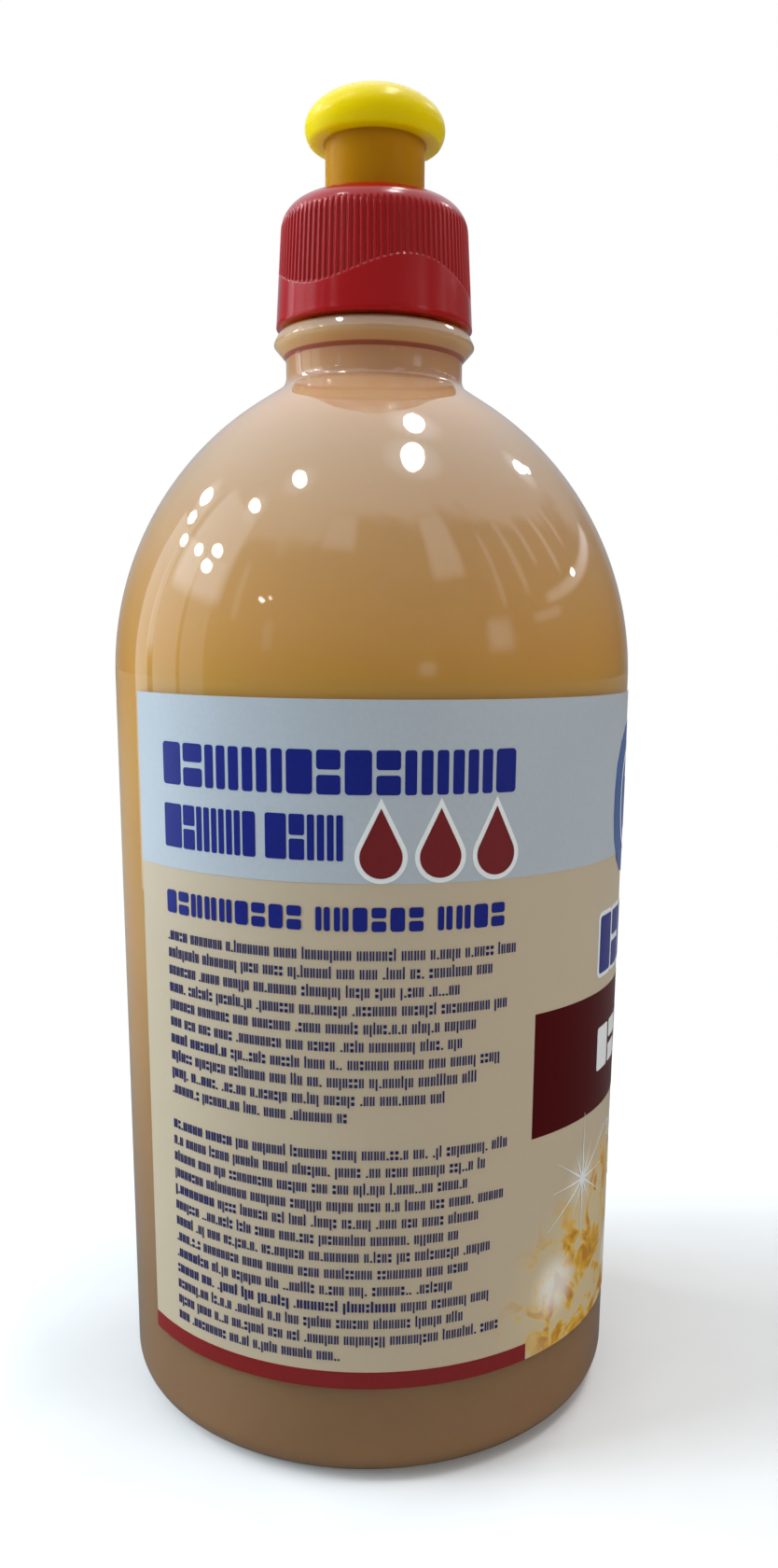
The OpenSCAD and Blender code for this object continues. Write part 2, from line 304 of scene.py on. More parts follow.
@dataclass(frozen=True)
class Finish:
    """One finish, and the material that shows it."""

    name: str

    def material(self) -> bpy.types.Material:
        """The finished material."""
        made = bpy.data.materials.new(self.name)
        made.use_nodes = True
        made.node_tree.nodes.clear()
        board = Board(made.node_tree)
        board.add("ShaderNodeOutputMaterial", Surface=self.surface(board))
        return made

    def surface(self, board: Board) -> Socket:
        """Builds the shader on the board and returns its output."""
        raise NotImplementedError


@dataclass(frozen=True)
class ClearBlownPlastic(Finish):
    """Clear bottle wall, with a painted warm tint at the neck. Rays from lamps and from the soap pass it
    straight, so the soap behind it is lit.
    """

    index: float = 1.5
    gloss: float = 0.045
    ripple: float = 0.00022
    ripple_scale: float = 34.0
    neck_low: float = 0.174
    neck_high: float = 0.184
    # thick: painted warm tint for the soap and red cap colour that the thick neck and ring show.
    thin: Colour = tint(252, 249, 243)
    thick: Colour = tint(232, 214, 194)
    passed: Colour = tint(252, 250, 246)

    def surface(self, board: Board) -> Socket:
        """Glass for what is seen, open for what only carries light."""
        ripple = Grains.place(board, "rippled", Scale=self.ripple_scale)
        # Painted tint: above neck_low the wall turns warm, for the soap and cap colour seen through the thick
        # ring.
        colour = board.blend(board.ramp(board.height(), self.neck_low, self.neck_high), self.thin, self.thick)
        glass = board.shader(
            Base_Color=colour, Roughness=self.gloss, IOR=self.index, Transmission_Weight=1.0,
            Normal=board.bump(ripple["Height"], 1.0, self.ripple)
        )
        rays = board.add("ShaderNodeLightPath").outputs
        carried = board.maths("MAXIMUM", rays["Is Shadow Ray"], rays["Is Diffuse Ray"])
        clear = board.add("ShaderNodeBsdfTransparent", Color=self.passed)
        return board.mixed(carried, glass, clear.outputs[0])


@dataclass(frozen=True)
class PearlySoap(Finish):
    """Thick soap with a slow pearly drift, ochre deep down, with painted light making the shoulder paler and
    painted shade making the foot brown.
    """

    # foot: painted shade, brown low down where less light reaches the soap; pale: painted light and sheen in
    # the shoulder, lit from above.
    foot: Colour = tint(138, 105, 74)
    deep: Colour = tint(198, 147, 58)
    pale: Colour = tint(174, 147, 118)
    neck: Colour = tint(196, 152, 112)
    # edge: painted reflection of the red cap, a thin dark red line round the soap at edge_z under the ring.
    edge: Colour = tint(140, 44, 30)
    foot_shade_fade_z: Point = (0.01, 0.14)
    painted_light_z: Point = (0.125, 0.178)
    neck_z: Point = (0.164, 0.178)
    edge_z: float = 0.18335
    cap_reflection_h: float = 0.0005
    cap_reflection_share: float = 0.8
    drift_share: float = 0.14
    light_reach: tuple[float, float, float] = (0.018, 0.012, 0.006)

    def surface(self, board: Board) -> Socket:
        """A scattering body whose colour drifts with height, with a painted reflection of the red cap as a
        thin line under the ring.
        """
        height = board.height()
        # Colour by height: painted shade at the foot fades into ochre, then painted light pales the shoulder,
        # then the neck colour.
        body = self.foot
        for colour, levels in ((self.deep, self.foot_shade_fade_z), (self.pale, self.painted_light_z), (self.neck, self.neck_z)):
            body = board.blend(board.ramp(height, *levels), body, colour)
        drift = Grains.place(board, "rippled", Scale=22.0)["Cloud"]
        body = board.blend(board.maths("MULTIPLY", drift, self.drift_share), body, self.neck)
        # Painted reflection of the red cap: a dark red line at edge_z.
        off = board.maths("ABSOLUTE", board.maths("SUBTRACT", height, self.edge_z))
        line = board.ramp(off, self.cap_reflection_h * 0.5, self.cap_reflection_h, self.cap_reflection_share, 0.0)
        return board.shader(
            Base_Color=board.blend(line, body, self.edge), Roughness=0.55, Specular_IOR_Level=0.12,
            Subsurface_Weight=1.0, Subsurface_Radius=self.light_reach, Subsurface_Scale=1.0
        )


@dataclass(frozen=True)
class MouldedPlastic(Finish):
    """Glossy moulded plastic with fine grain, slight mottle and light inside. Its stem may carry painted
    shade, a deeper amber under the head.
    """

    colour: Colour
    second: Colour
    gloss: float
    shine: float
    inside: float = 0.12
    light_reach: tuple[float, float, float] = (0.0018, 0.0009, 0.0006)
    painted_stem_shade: Colour | None = None
    stem_r: float = 0.0
    stem_z: float = 0.0
    mottle_share: float = 0.6
    grain_h: float = 0.00004

    def surface(self, board: Board) -> Socket:
        """Plastic whose colour may change within a distance of the axis and below a height."""
        grain = Grains.place(board, "moulded", Gloss=self.gloss)
        mottle = board.maths("MULTIPLY", grain["Mottle"], self.mottle_share)
        colour = board.blend(mottle, self.colour, self.second)
        # Painted shade and red reflection: the stem near the axis and below stem_z is coloured a deeper
        # amber, as under the head.
        if self.painted_stem_shade:
            flat = board.vectors("MULTIPLY", board.where(), (1.0, 1.0, 0.0))["Vector"]
            out = board.vectors("LENGTH", flat)["Value"]
            near = board.ramp(out, self.stem_r, self.stem_r + 0.0004, 1.0, 0.0)
            below = board.ramp(board.height(), self.stem_z, self.stem_z + 0.001, 1.0, 0.0)
            colour = board.blend(board.maths("MULTIPLY", near, below), colour, self.painted_stem_shade)
        return board.shader(
            Base_Color=colour, Roughness=grain["Roughness"], Subsurface_Weight=self.inside,
            Subsurface_Radius=self.light_reach, Subsurface_Scale=1.0, Specular_IOR_Level=self.shine,
            Normal=board.bump(grain["Height"], 0.5, self.grain_h)
        )


@dataclass(frozen=True)
class Ink(Finish):
    """Flat ink with the grain of print."""

    colour: Colour
    second: Colour
    gloss: float = 0.32
    shine: float = 0.4
    mottle_share: float = 0.8

    def surface(self, board: Board) -> Socket:
        """Ink on film."""
        grain = Grains.place(board, "printed", Gloss=self.gloss)
        mottle = board.maths("MULTIPLY", grain["Mottle"], self.mottle_share)
        colour = board.blend(mottle, self.colour, self.second)
        return board.shader(Base_Color=colour, Roughness=grain["Roughness"], Specular_IOR_Level=self.shine)


@dataclass(frozen=True)
class PrintedFilm(Finish):
    """The label's cream ground, with glows and a golden splash on the front panel, in film millimetres."""

    size: Point
    glows: tuple[tuple[float, float, float, float], ...]
    cream: Colour = tint(192, 174, 147)
    warm: Colour = tint(185, 167, 136)
    glow: Colour = tint(250, 250, 246)
    gold: Colour = tint(224, 176, 52)
    deep_gold: Colour = tint(186, 122, 14)
    haze: Colour = tint(236, 208, 140)
    splash: Point = (121.0, 7.0)
    splash_reach: Point = (58.0, 33.0)

    def surface(self, board: Board) -> Socket:
        """Reads the film's own UV map, in millimetres from its lower left corner."""
        uv = board.add("ShaderNodeUVMap", {"uv_map": "film"}).outputs[0]
        place = board.add("ShaderNodeMapping", Vector=uv, Scale=(*self.size, 1.0)).outputs[0]
        grain = Grains.place(board, "printed", Gloss=0.32)
        ground = board.blend(board.maths("MULTIPLY", grain["Mottle"], 0.35), self.cream, self.warm)
        colour = self.flaked(board, place, ground)
        for x, y, reach, strength in self.glows:
            far = board.vectors("DISTANCE", place, (x, y, 0.0))["Value"]
            colour = board.blend(board.ramp(far, reach * 0.25, reach, strength, 0.0), colour, self.glow)
        waves = board.noise(place, 0.09, 1.0)
        return board.shader(Base_Color=colour, Roughness=grain["Roughness"], Specular_IOR_Level=0.4,
                            Normal=board.bump(waves, 0.35, 0.0002))

    def flaked(self, board: Board, place: Socket, ground: Socket) -> Socket:
        """Golden flakes in an oval part of the front panel.

        Args:
            board: The material's board.
            place: Millimetres on the film.
            ground: The colour under the flakes.

        Returns:
            The ground with its flakes.
        """
        moved = board.add("ShaderNodeMapping", {"vector_type": "TEXTURE"}, Vector=place,
                          Location=(*self.splash, 0.0), Scale=(*self.splash_reach, 1.0)).outputs[0]
        inside = board.ramp(board.vectors("LENGTH", moved)["Value"], 0.7, 1.0, 1.0, 0.0)
        swirl = board.noise(place, 0.16, 3.0, 1.4)
        flake = board.maths("MULTIPLY", board.ramp(swirl, 0.5, 0.56), inside)
        haze = board.blend(board.maths("MULTIPLY", inside, 0.35), ground, self.haze)
        return board.blend(flake, haze, board.blend(board.ramp(swirl, 0.52, 0.68), self.gold, self.deep_gold))


@dataclass(frozen=True)
class SoftFoam(Finish):
    """Closed foam of the liner, with fine cells."""

    colour: Colour = tint(236, 234, 226)
    shade: Colour = tint(206, 204, 196)
    cell_scale: float = 2600.0
    cell_h: float = 0.00005

    def surface(self, board: Board) -> Socket:
        """Matt foam."""
        cells = board.add("ShaderNodeTexVoronoi", Vector=board.where(),
                          Scale=self.cell_scale).outputs["Distance"]
        colour = board.blend(board.maths("MULTIPLY", cells, 0.3), self.colour, self.shade)
        return board.shader(Base_Color=colour, Roughness=0.75, Normal=board.bump(cells, 0.5, self.cell_h))


@dataclass(frozen=True)
class PaleFloor(Finish):
    """Pale floor that keeps the bottle's shadow, fades to white away from it, and is dim in mirrors."""

    colour: Colour = tint(246, 246, 245)
    speck: Colour = tint(241, 241, 240)
    lighting: Colour = tint(192, 191, 189)
    mirrored: Colour = tint(120, 119, 117)
    fade: Point = (0.07, 0.42)
    mirrored_share: float = 0.2

    def surface(self, board: Board) -> Socket:
        """Matt near the bottle and white far from it, for what is seen."""
        place = board.where()
        rays = board.add("ShaderNodeLightPath").outputs
        colour = board.blend(board.noise(place, 60.0, 2.0), self.colour, self.speck)
        colour = board.blend(rays["Is Diffuse Ray"], colour, self.lighting)
        colour = board.blend(rays["Is Glossy Ray"], colour, self.mirrored)
        seen = board.maths("MAXIMUM", rays["Is Camera Ray"], rays["Is Transmission Ray"])
        dim = board.maths("MULTIPLY", rays["Is Glossy Ray"], self.mirrored_share)
        seen = board.maths("MAXIMUM", seen, dim)
        away = board.ramp(board.vectors("LENGTH", place)["Value"], *self.fade)
        matt = board.add("ShaderNodeBsdfDiffuse", Color=colour).outputs[0]
        white = board.add("ShaderNodeEmission", Color=WHITE, Strength=1.0).outputs[0]
        return board.mixed(board.maths("MULTIPLY", away, seen), matt, white)


# Modelling helpers, in millimetres round the Z axis


MOST_SPUN = 20


def take_up(piece: bpy.types.Object) -> None:
    """Deselects everything, then selects one piece and makes it active."""
    bpy.ops.object.select_all(action="DESELECT")
    piece.select_set(True)
    bpy.context.view_layer.objects.active = piece


def arc(centre: Point, radius: float, first: float, last: float, steps: int) -> list[Point]:
    """Points of an arc in the half plane.

    Args:
        centre: Its centre.
        radius: Its radius.
        first: Its first angle in degrees.
        last: Its last angle in degrees.
        steps: How many steps it takes.

    Returns:
        One point more than it has steps.
    """
    angles = np.radians(np.linspace(first, last, steps + 1))
    return [(centre[0] + radius * math.cos(a), centre[1] + radius * math.sin(a)) for a in angles]


def fine(points: list[Point], step: float) -> list[Point]:
    """Fills a run of points so that none are further apart than the step."""
    filled = [points[0]]
    for start, end in zip(points, points[1:]):
        count = max(1, math.ceil(math.dist(start, end) / step))
        first, way = np.array(start), np.array(end) - np.array(start)
        filled += [tuple(first + way * i / count) for i in range(1, count + 1)]
    return filled


def rounded(points: list[Point], radius: float, steps: int = 3) -> list[Point]:
    """Rounds each inner corner of a run of straight lines.

    Args:
        points: The corners.
        radius: How far each corner is cut back along its shorter side at most.
        steps: How many steps each round takes.

    Returns:
        The run with its corners rounded.
    """
    run = [points[0]]
    for before, here, after in zip(points, points[1:], points[2:]):
        b, h, a = (np.array(p, float) for p in (before, here, after))
        back = min(radius, 0.45 * math.dist(before, here), 0.45 * math.dist(here, after))
        first = h + (b - h) / np.linalg.norm(b - h) * back
        last = h + (a - h) / np.linalg.norm(a - h) * back
        for i in range(steps + 1):
            t = i / steps
            run.append(tuple((1 - t) ** 2 * first + 2 * t * (1 - t) * h + t**2 * last))
    return [*run, points[-1]]


def turned(name: str, section: list[Point], columns: int, sweep: float = TURN,
           start: float = 0.0) -> bpy.types.Object:
    """Spins a closed half section about the axis into one closed solid.

    Args:
        name: The piece's name.
        section: Radius and height of each point, once round the section.
        columns: How many columns of faces it gets.
        sweep: How far it is spun.
        start: Angle of its first column from the front, towards the right.

    Returns:
        The piece, smooth shaded.
    """
    bpy.ops.object.select_all(action="DESELECT")
    bpy.ops.mesh.primitive_circle_add(vertices=len(section), radius=1.0)
    piece = bpy.context.object
    piece.name = piece.data.name = name
    for vertex, (radius, height) in zip(piece.data.vertices, section):
        vertex.co = (radius * MM * math.sin(start), -radius * MM * math.cos(start), height * MM)
    bpy.ops.object.mode_set(mode="EDIT")
    bpy.ops.mesh.select_all(action="SELECT")
    halvings = 0
    while columns % 2 == 0 and columns > MOST_SPUN:
        columns, sweep, halvings = columns // 2, sweep / 2, halvings + 1
    bpy.ops.mesh.spin(steps=columns, angle=-sweep, center=(0, 0, 0), axis=(0, 0, 1))
    for _ in range(halvings):
        bpy.ops.mesh.select_all(action="SELECT")
        bpy.ops.mesh.duplicate()
        bpy.ops.transform.rotate(value=-sweep, orient_axis="Z", center_override=(0, 0, 0))
        sweep *= 2
    bpy.ops.mesh.select_all(action="SELECT")
    bpy.ops.mesh.remove_doubles(threshold=0.002 * MM)
    if sweep < TURN - 0.01:
        bpy.ops.mesh.select_all(action="DESELECT")
        bpy.ops.mesh.select_non_manifold()
        bpy.ops.mesh.fill_holes(sides=0)
    bpy.ops.mesh.select_all(action="SELECT")
    bpy.ops.mesh.normals_make_consistent(inside=False)
    bpy.ops.object.mode_set(mode="OBJECT")
    smooth(piece)
    return piece


def smooth(piece: bpy.types.Object, sharp: float = 38.0) -> None:
    """Shades a piece smooth, with edges sharper than an angle in degrees kept crisp."""
    take_up(piece)
    bpy.ops.object.shade_smooth_by_angle(angle=math.radians(sharp))


def from_points(name: str, points: np.ndarray, faces: list) -> bpy.types.Object:
    """A piece from points in metres and faces."""
    mesh = bpy.data.meshes.new(name)
    mesh.from_pydata(points.tolist(), [], faces)
    piece = bpy.data.objects.new(name, mesh)
    bpy.context.scene.collection.objects.link(piece)
    return piece


def push(piece: bpy.types.Object, reach: Callable[[np.ndarray, np.ndarray, np.ndarray], tuple]) -> None:
    """Moves each vertex of a turned piece along its radius and its height.

    Args:
        piece: The piece.
        reach: Gives the new radius and height from the angle, the radius and the height, in radians and
            millimetres.
    """
    count = len(piece.data.vertices)
    co = np.empty(count * 3, np.float32)
    piece.data.vertices.foreach_get("co", co)
    co = co.reshape(-1, 3).astype(float) / MM
    angle = np.arctan2(co[:, 0], -co[:, 1])
    radius = np.hypot(co[:, 0], co[:, 1])
    new, co[:, 2] = reach(angle, radius, co[:, 2])
    co[:, 0], co[:, 1] = new * np.sin(angle), -new * np.cos(angle)
    piece.data.vertices.foreach_set("co", (co * MM).astype(np.float32).ravel())
    piece.data.update()


def ramped(value: np.ndarray, low: float, high: float) -> np.ndarray:
    """A smooth step of an array from 0 at low to 1 at high."""
    t = np.clip((value - low) / (high - low), 0, 1)
    return t * t * (3 - 2 * t)


def dress(piece: bpy.types.Object, finish: Finish, body: Body, slot: Slot, *nodes: str) -> None:
    """Gives a piece its material and its body, and hides the CAD nodes that it stands for.

    Args:
        piece: The piece.
        finish: Its finish.
        body: The body that it rides on.
        slot: The record's material slot; not used.
        nodes: Names of the nodes.
    """
    piece.data.materials.clear()
    piece.data.materials.append(finish.material())
    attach(piece, body.value)
    if nodes:
        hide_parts(*nodes)
    log.info("%s: %d faces", piece.name, len(piece.data.polygons))


# The bottle and its soap


@dataclass
class BlownBottle:
    """The clear bottle with its ring, its neck finish and its thread, and the soap in it."""

    body_r: float = 45.0
    body_top: float = 130.3
    heel_r: float = 6.3
    shoulder_r: float = 53.6
    sweep: float = 57.8
    wall: float = 0.6
    pushup_r: float = 30.0
    pushup_h: float = 6.0
    neck_r: float = 15.0
    neck_wall: float = 1.4
    neck_h: float = 4.2
    ring_r: float = 17.0
    ring_under_h: float = 2.4
    ring_upper_h: float = 1.9
    ring_top_r: float = 16.1
    ring_edge: float = 0.15
    finish_r: float = 12.7
    finish_h: float = 17.6
    bore_r: float = 10.85
    lip: float = 0.4
    fill_z: float = 188.6
    soap_into_wall: float = 0.15
    neck_skin: float = 0.35
    pitch: float = 4.23
    thread_depth: float = 1.1
    thread_foot: float = 2.3
    thread_crest: float = 1.2
    thread_turns: float = 1.5
    thread_drop: float = 3.2
    run_out: float = 25.0
    root_round: float = 1.5
    ring_round: float = 0.45
    inner_round: float = 0.3
    soap_round: float = 0.5
    columns: int = 224
    soap_columns: int = 160

    def __post_init__(self) -> None:
        """Works out the levels of the neck."""
        self.neck_z = self.shoulder_z(0, self.neck_r)
        self.ring_low_z = self.neck_z + self.neck_h
        self.ring_tip_z = self.ring_low_z + self.ring_under_h
        self.ring_top_z = self.ring_tip_z + self.ring_upper_h
        self.lip_z = self.ring_top_z + self.finish_h
        self.thread_z = self.lip_z - self.thread_drop - self.pitch * self.thread_turns

    def shoulder_z(self, inset: float, radius: float) -> float:
        """Height at which the shoulder, moved inwards, comes to a radius on its straight run."""
        sweep = math.radians(self.sweep)
        end_r = self.body_r - self.shoulder_r + (self.shoulder_r - inset) * math.cos(sweep)
        end_z = self.body_top + (self.shoulder_r - inset) * math.sin(sweep)
        return end_z + (end_r - radius) / math.tan(sweep)

    def body_run(self, inset: float, neck_r: float) -> list[Point]:
        """The body's outline moved inwards, from the axis at the base up to the neck.

        Args:
            inset: How far it is moved.
            neck_r: Radius at which it ends.

        Returns:
            Its points.
        """
        ball = (self.pushup_r**2 + self.pushup_h**2) / (2 * self.pushup_h)
        foot = math.sqrt((ball + inset) ** 2 - (ball - self.pushup_h + inset) ** 2)
        half = math.degrees(math.asin(foot / (ball + inset)))
        base = arc((0, self.pushup_h - ball), ball + inset, 90, 90 - half, 16)
        heel = arc((self.body_r - self.heel_r, self.heel_r), self.heel_r - inset, -90, 0, 20)
        centre = (self.body_r - self.shoulder_r, self.body_top)
        shoulder = arc(centre, self.shoulder_r - inset, 0, self.sweep, 64)
        return [
            *base,
            *fine([*heel, shoulder[0]], 8.0),
            *shoulder[1:],
            (neck_r, self.shoulder_z(inset, neck_r)),
        ]

    def section(self) -> list[Point]:
        """Once round the wall's half section."""
        root = rounded([
            self.body_run(0, self.neck_r)[-2],
            (self.neck_r, self.neck_z),
            (self.neck_r, self.ring_low_z - 0.5),
        ], self.root_round, 6)
        outside = rounded([
            root[-2],
            (self.neck_r, self.ring_low_z),
            (self.ring_r, self.ring_tip_z - self.ring_edge),
            (self.ring_r, self.ring_tip_z + self.ring_edge),
            (self.ring_top_r, self.ring_top_z),
            (self.finish_r, self.ring_top_z),
            (self.finish_r, self.ring_top_z + 0.6),
        ], self.ring_round)
        finish = fine([
            (self.finish_r, self.ring_top_z + 0.6),
            (self.finish_r, self.lip_z - self.lip),
        ], 0.24)
        inside = rounded([
            (self.finish_r - self.lip, self.lip_z),
            (self.bore_r, self.lip_z),
            (self.bore_r, self.ring_top_z),
            (self.neck_r - self.neck_wall, self.ring_low_z),
            (self.neck_r - self.neck_wall, self.shoulder_z(self.wall, self.neck_r - self.neck_wall)),
            self.body_run(self.wall, self.neck_r - self.neck_wall)[-2],
        ], self.inner_round)
        return [
            *self.body_run(0, self.neck_r)[:-2],
            *root[:-1],
            *outside[1:-1],
            *finish,
            *inside[:-1],
            *reversed(self.body_run(self.wall, self.neck_r - self.neck_wall)[:-1]),
        ]

    def thread(self, angle: np.ndarray, radius: np.ndarray, height: np.ndarray) -> tuple:
        """Raises the thread out of the finish."""
        outside = (radius > self.finish_r - 0.05) & (height > self.ring_top_z + 0.5)
        turn = np.degrees(angle) - 90
        flank = (self.thread_foot - self.thread_crest) / 2
        new = radius.copy()
        for lap in range(-1, 3):
            along = turn + 360 * lap
            there = np.clip(np.minimum(along, 360 * self.thread_turns - along) / self.run_out, 0, 1)
            off = np.abs(height - self.thread_z - self.pitch * along / 360)
            crest = 1 - np.clip((off - self.thread_crest / 2) / flank, 0, 1)
            raised = self.finish_r + self.thread_depth * there * crest
            new = np.maximum(new, np.where(outside, raised, radius))
        return new, height

    def soap_section(self) -> list[Point]:
        """The soap's half section.

        It reaches a little into the wall, so that no air shows between them, and at the neck and the ring
        nearly to the outside, because so thick a clear wall shows soap right across.
        """
        inset = self.wall - self.soap_into_wall
        skin = self.neck_skin
        bore_r = self.bore_r + self.soap_into_wall
        neck = rounded([
            self.body_run(inset, self.neck_r - skin)[-2],
            (self.neck_r - skin, self.neck_z),
            (self.neck_r - skin, self.ring_low_z),
            (self.ring_r - 2 * skin, self.ring_tip_z),
            (self.ring_top_r - 2 * skin, self.ring_top_z - skin),
            (bore_r, self.ring_top_z - skin),
            (bore_r, self.fill_z),
        ], self.soap_round)
        return [*self.body_run(inset, self.neck_r - skin)[:-2], *neck, (0, self.fill_z)]

    def make(self) -> None:
        """Builds the wall and the soap."""
        shell = turned("bottle_wall", self.section(), self.columns)
        push(shell, self.thread)
        smooth(shell)
        clear = ClearBlownPlastic("clear_blown_plastic")
        dress(shell, clear, Body.BOTTLE, Slot.CLEAR_PET, "bottle")
        soap = turned("soap_fill", self.soap_section(), self.soap_columns)
        dress(soap, PearlySoap("pearly_soap"), Body.BOTTLE, Slot.SOAP, "soap")


# The label


class Stencil:
    """Flat shapes in film millimetres that become one thin ply of ink round the body."""

    def __init__(self, label: "WrapLabel", level: int) -> None:
        """Takes the label and the level of ink."""
        self.label = label
        self.low_r = label.print_r + level * (label.ink_t + label.ply_gap)
        self.points: list[np.ndarray] = []
        self.faces: list[np.ndarray] = []
        self.count = 0

    def ribbon(self, first: np.ndarray, second: np.ndarray, closed: bool = False) -> None:
        """Adds the area between two runs of points, as a closed solid.

        Args:
            first: Lower or inner run.
            second: Upper or outer run, from left to right as the first.
            closed: True where both runs come back to their start.
        """
        n = len(first)
        flat = np.concatenate([first, second])
        for radius in (self.low_r, self.low_r + self.label.ink_t):
            self.points.append(self.label.on_body(flat, radius))
        i = np.arange(n if closed else n - 1)
        j = (i + 1) % n
        a, b, c, d = self.count, self.count + n, self.count + 2 * n, self.count + 3 * n
        quads = [
            np.stack([c + i, c + j, d + j, d + i], 1),
            np.stack([a + j, a + i, b + i, b + j], 1),
            np.stack([a + i, a + j, c + j, c + i], 1),
            np.stack([b + j, b + i, d + i, d + j], 1),
        ]
        if not closed:
            quads.append(np.array([[a, c, d, b], [a + n - 1, b + n - 1, d + n - 1, c + n - 1]]))
        self.faces += quads
        self.count += 4 * n

    def tile(self, x: float, y: float, w: float, h: float, corner: float = 0.0) -> None:
        """A tile with its lower left corner at x, y, its corners rounded."""
        corner = min(corner, w / 2, h / 2)
        cuts = max(1, math.ceil((w - 2 * corner) / self.label.facet))
        xs = np.linspace(x + corner, x + w - corner, cuts + 1)
        back = np.zeros(len(xs))
        if corner:
            turn = np.radians(np.linspace(90, 0, 5))[:-1]
            out = corner - corner * np.sin(turn)
            xs = np.concatenate([x + out, xs, x + w - out[::-1]])
            edge = corner - corner * np.cos(turn)
            back = np.concatenate([edge, back, edge[::-1]])
        self.ribbon(np.stack([xs, y + back], 1), np.stack([xs, y + h - back], 1))

    def disc(self, x: float, y: float, wide: float, high: float, inner: float = 0.0) -> None:
        """An oval with its middle at x, y, or a ring where inner is the share of it that is open."""
        if inner:
            turn = np.linspace(0, TURN, 33)[:-1]
            unit = np.stack([np.cos(turn) * wide, np.sin(turn) * high], 1)
            self.ribbon(unit * inner + (x, y), unit + (x, y), closed=True)
            return
        turn = np.linspace(math.pi, 0, 17)
        xs, ys = x + wide * np.cos(turn), high * np.sin(turn)
        self.ribbon(np.stack([xs, y - ys], 1), np.stack([xs, y + ys], 1))

    def drop(self, x: float, y: float, radius: float, point: float) -> None:
        """A drop: a round foot about x, y and a pointed top."""
        tip = point * radius
        side = math.asin(radius / tip)
        turn = np.linspace(math.pi, 0, 25)
        xs = radius * np.cos(turn)
        low = -radius * np.sin(turn)
        edge = radius * math.cos(side)
        slope = (tip - radius * math.sin(side)) / edge
        high = np.where(np.abs(xs) > edge, -low, tip - slope * np.abs(xs))
        self.ribbon(np.stack([x + xs, y + low], 1), np.stack([x + xs, y + high], 1))

    def ray(self, x: float, y: float, length: float, width: float, angle: float) -> None:
        """One ray of a sparkle: a thin diamond about x, y, turned by an angle in degrees."""
        along = np.linspace(-1, 1, 9)
        half = width / 2 * (1 - np.abs(along)) ** 1.6 + 0.02
        a = math.radians(angle)
        line = np.stack([along * length, np.zeros(9)], 1)
        turn = np.array([[math.cos(a), math.sin(a)], [-math.sin(a), math.cos(a)]])
        side = np.stack([np.zeros(9), half], 1)
        self.ribbon((line - side) @ turn + (x, y), (line + side) @ turn + (x, y))

    def dress(self, name: str, ink: Ink, slot: Slot, *nodes: str) -> None:
        """Makes the finished ply and dresses it in its ink, for the nodes that it stands for."""
        made = from_points(name, np.concatenate(self.points), np.concatenate(self.faces).tolist())
        made.data.validate()
        smooth(made, 30.0)
        dress(made, ink, Body.BOTTLE, slot, *nodes)


@dataclass(frozen=True)
class Row:
    """A row of heavy split tiles, in film millimetres."""

    y: float
    h: float
    widths: tuple[float, ...]
    gap: float
    corner: float = 0.6

    def cut(self, stencil: Stencil, x: float, swell: float = 0.0) -> None:
        """Cuts the row; a negative width is an open space.

        Args:
            stencil: What it is cut into.
            x: Its left end.
            swell: How far each tile is grown, for an outline under another row.
        """
        for turn, width in enumerate(self.widths):
            if width < 0:
                x -= width
                continue
            slit, kind = 0.16 * width, turn * 5 % 7
            if swell or kind in (0, 4):
                stencil.tile(x - swell, self.y - swell, width + 2 * swell, self.h + 2 * swell,
                             self.corner + swell)
            elif kind in (1, 3, 6):
                half = (width - slit) / 2
                for left in (x, x + half + slit):
                    stencil.tile(left, self.y, half, self.h, self.corner * 0.7)
            else:
                half = (self.h - slit * 1.4) / 2
                for low in (self.y, self.y + half + slit * 1.4):
                    stencil.tile(x, low, width, half, self.corner * 0.8)
            x += width + self.gap


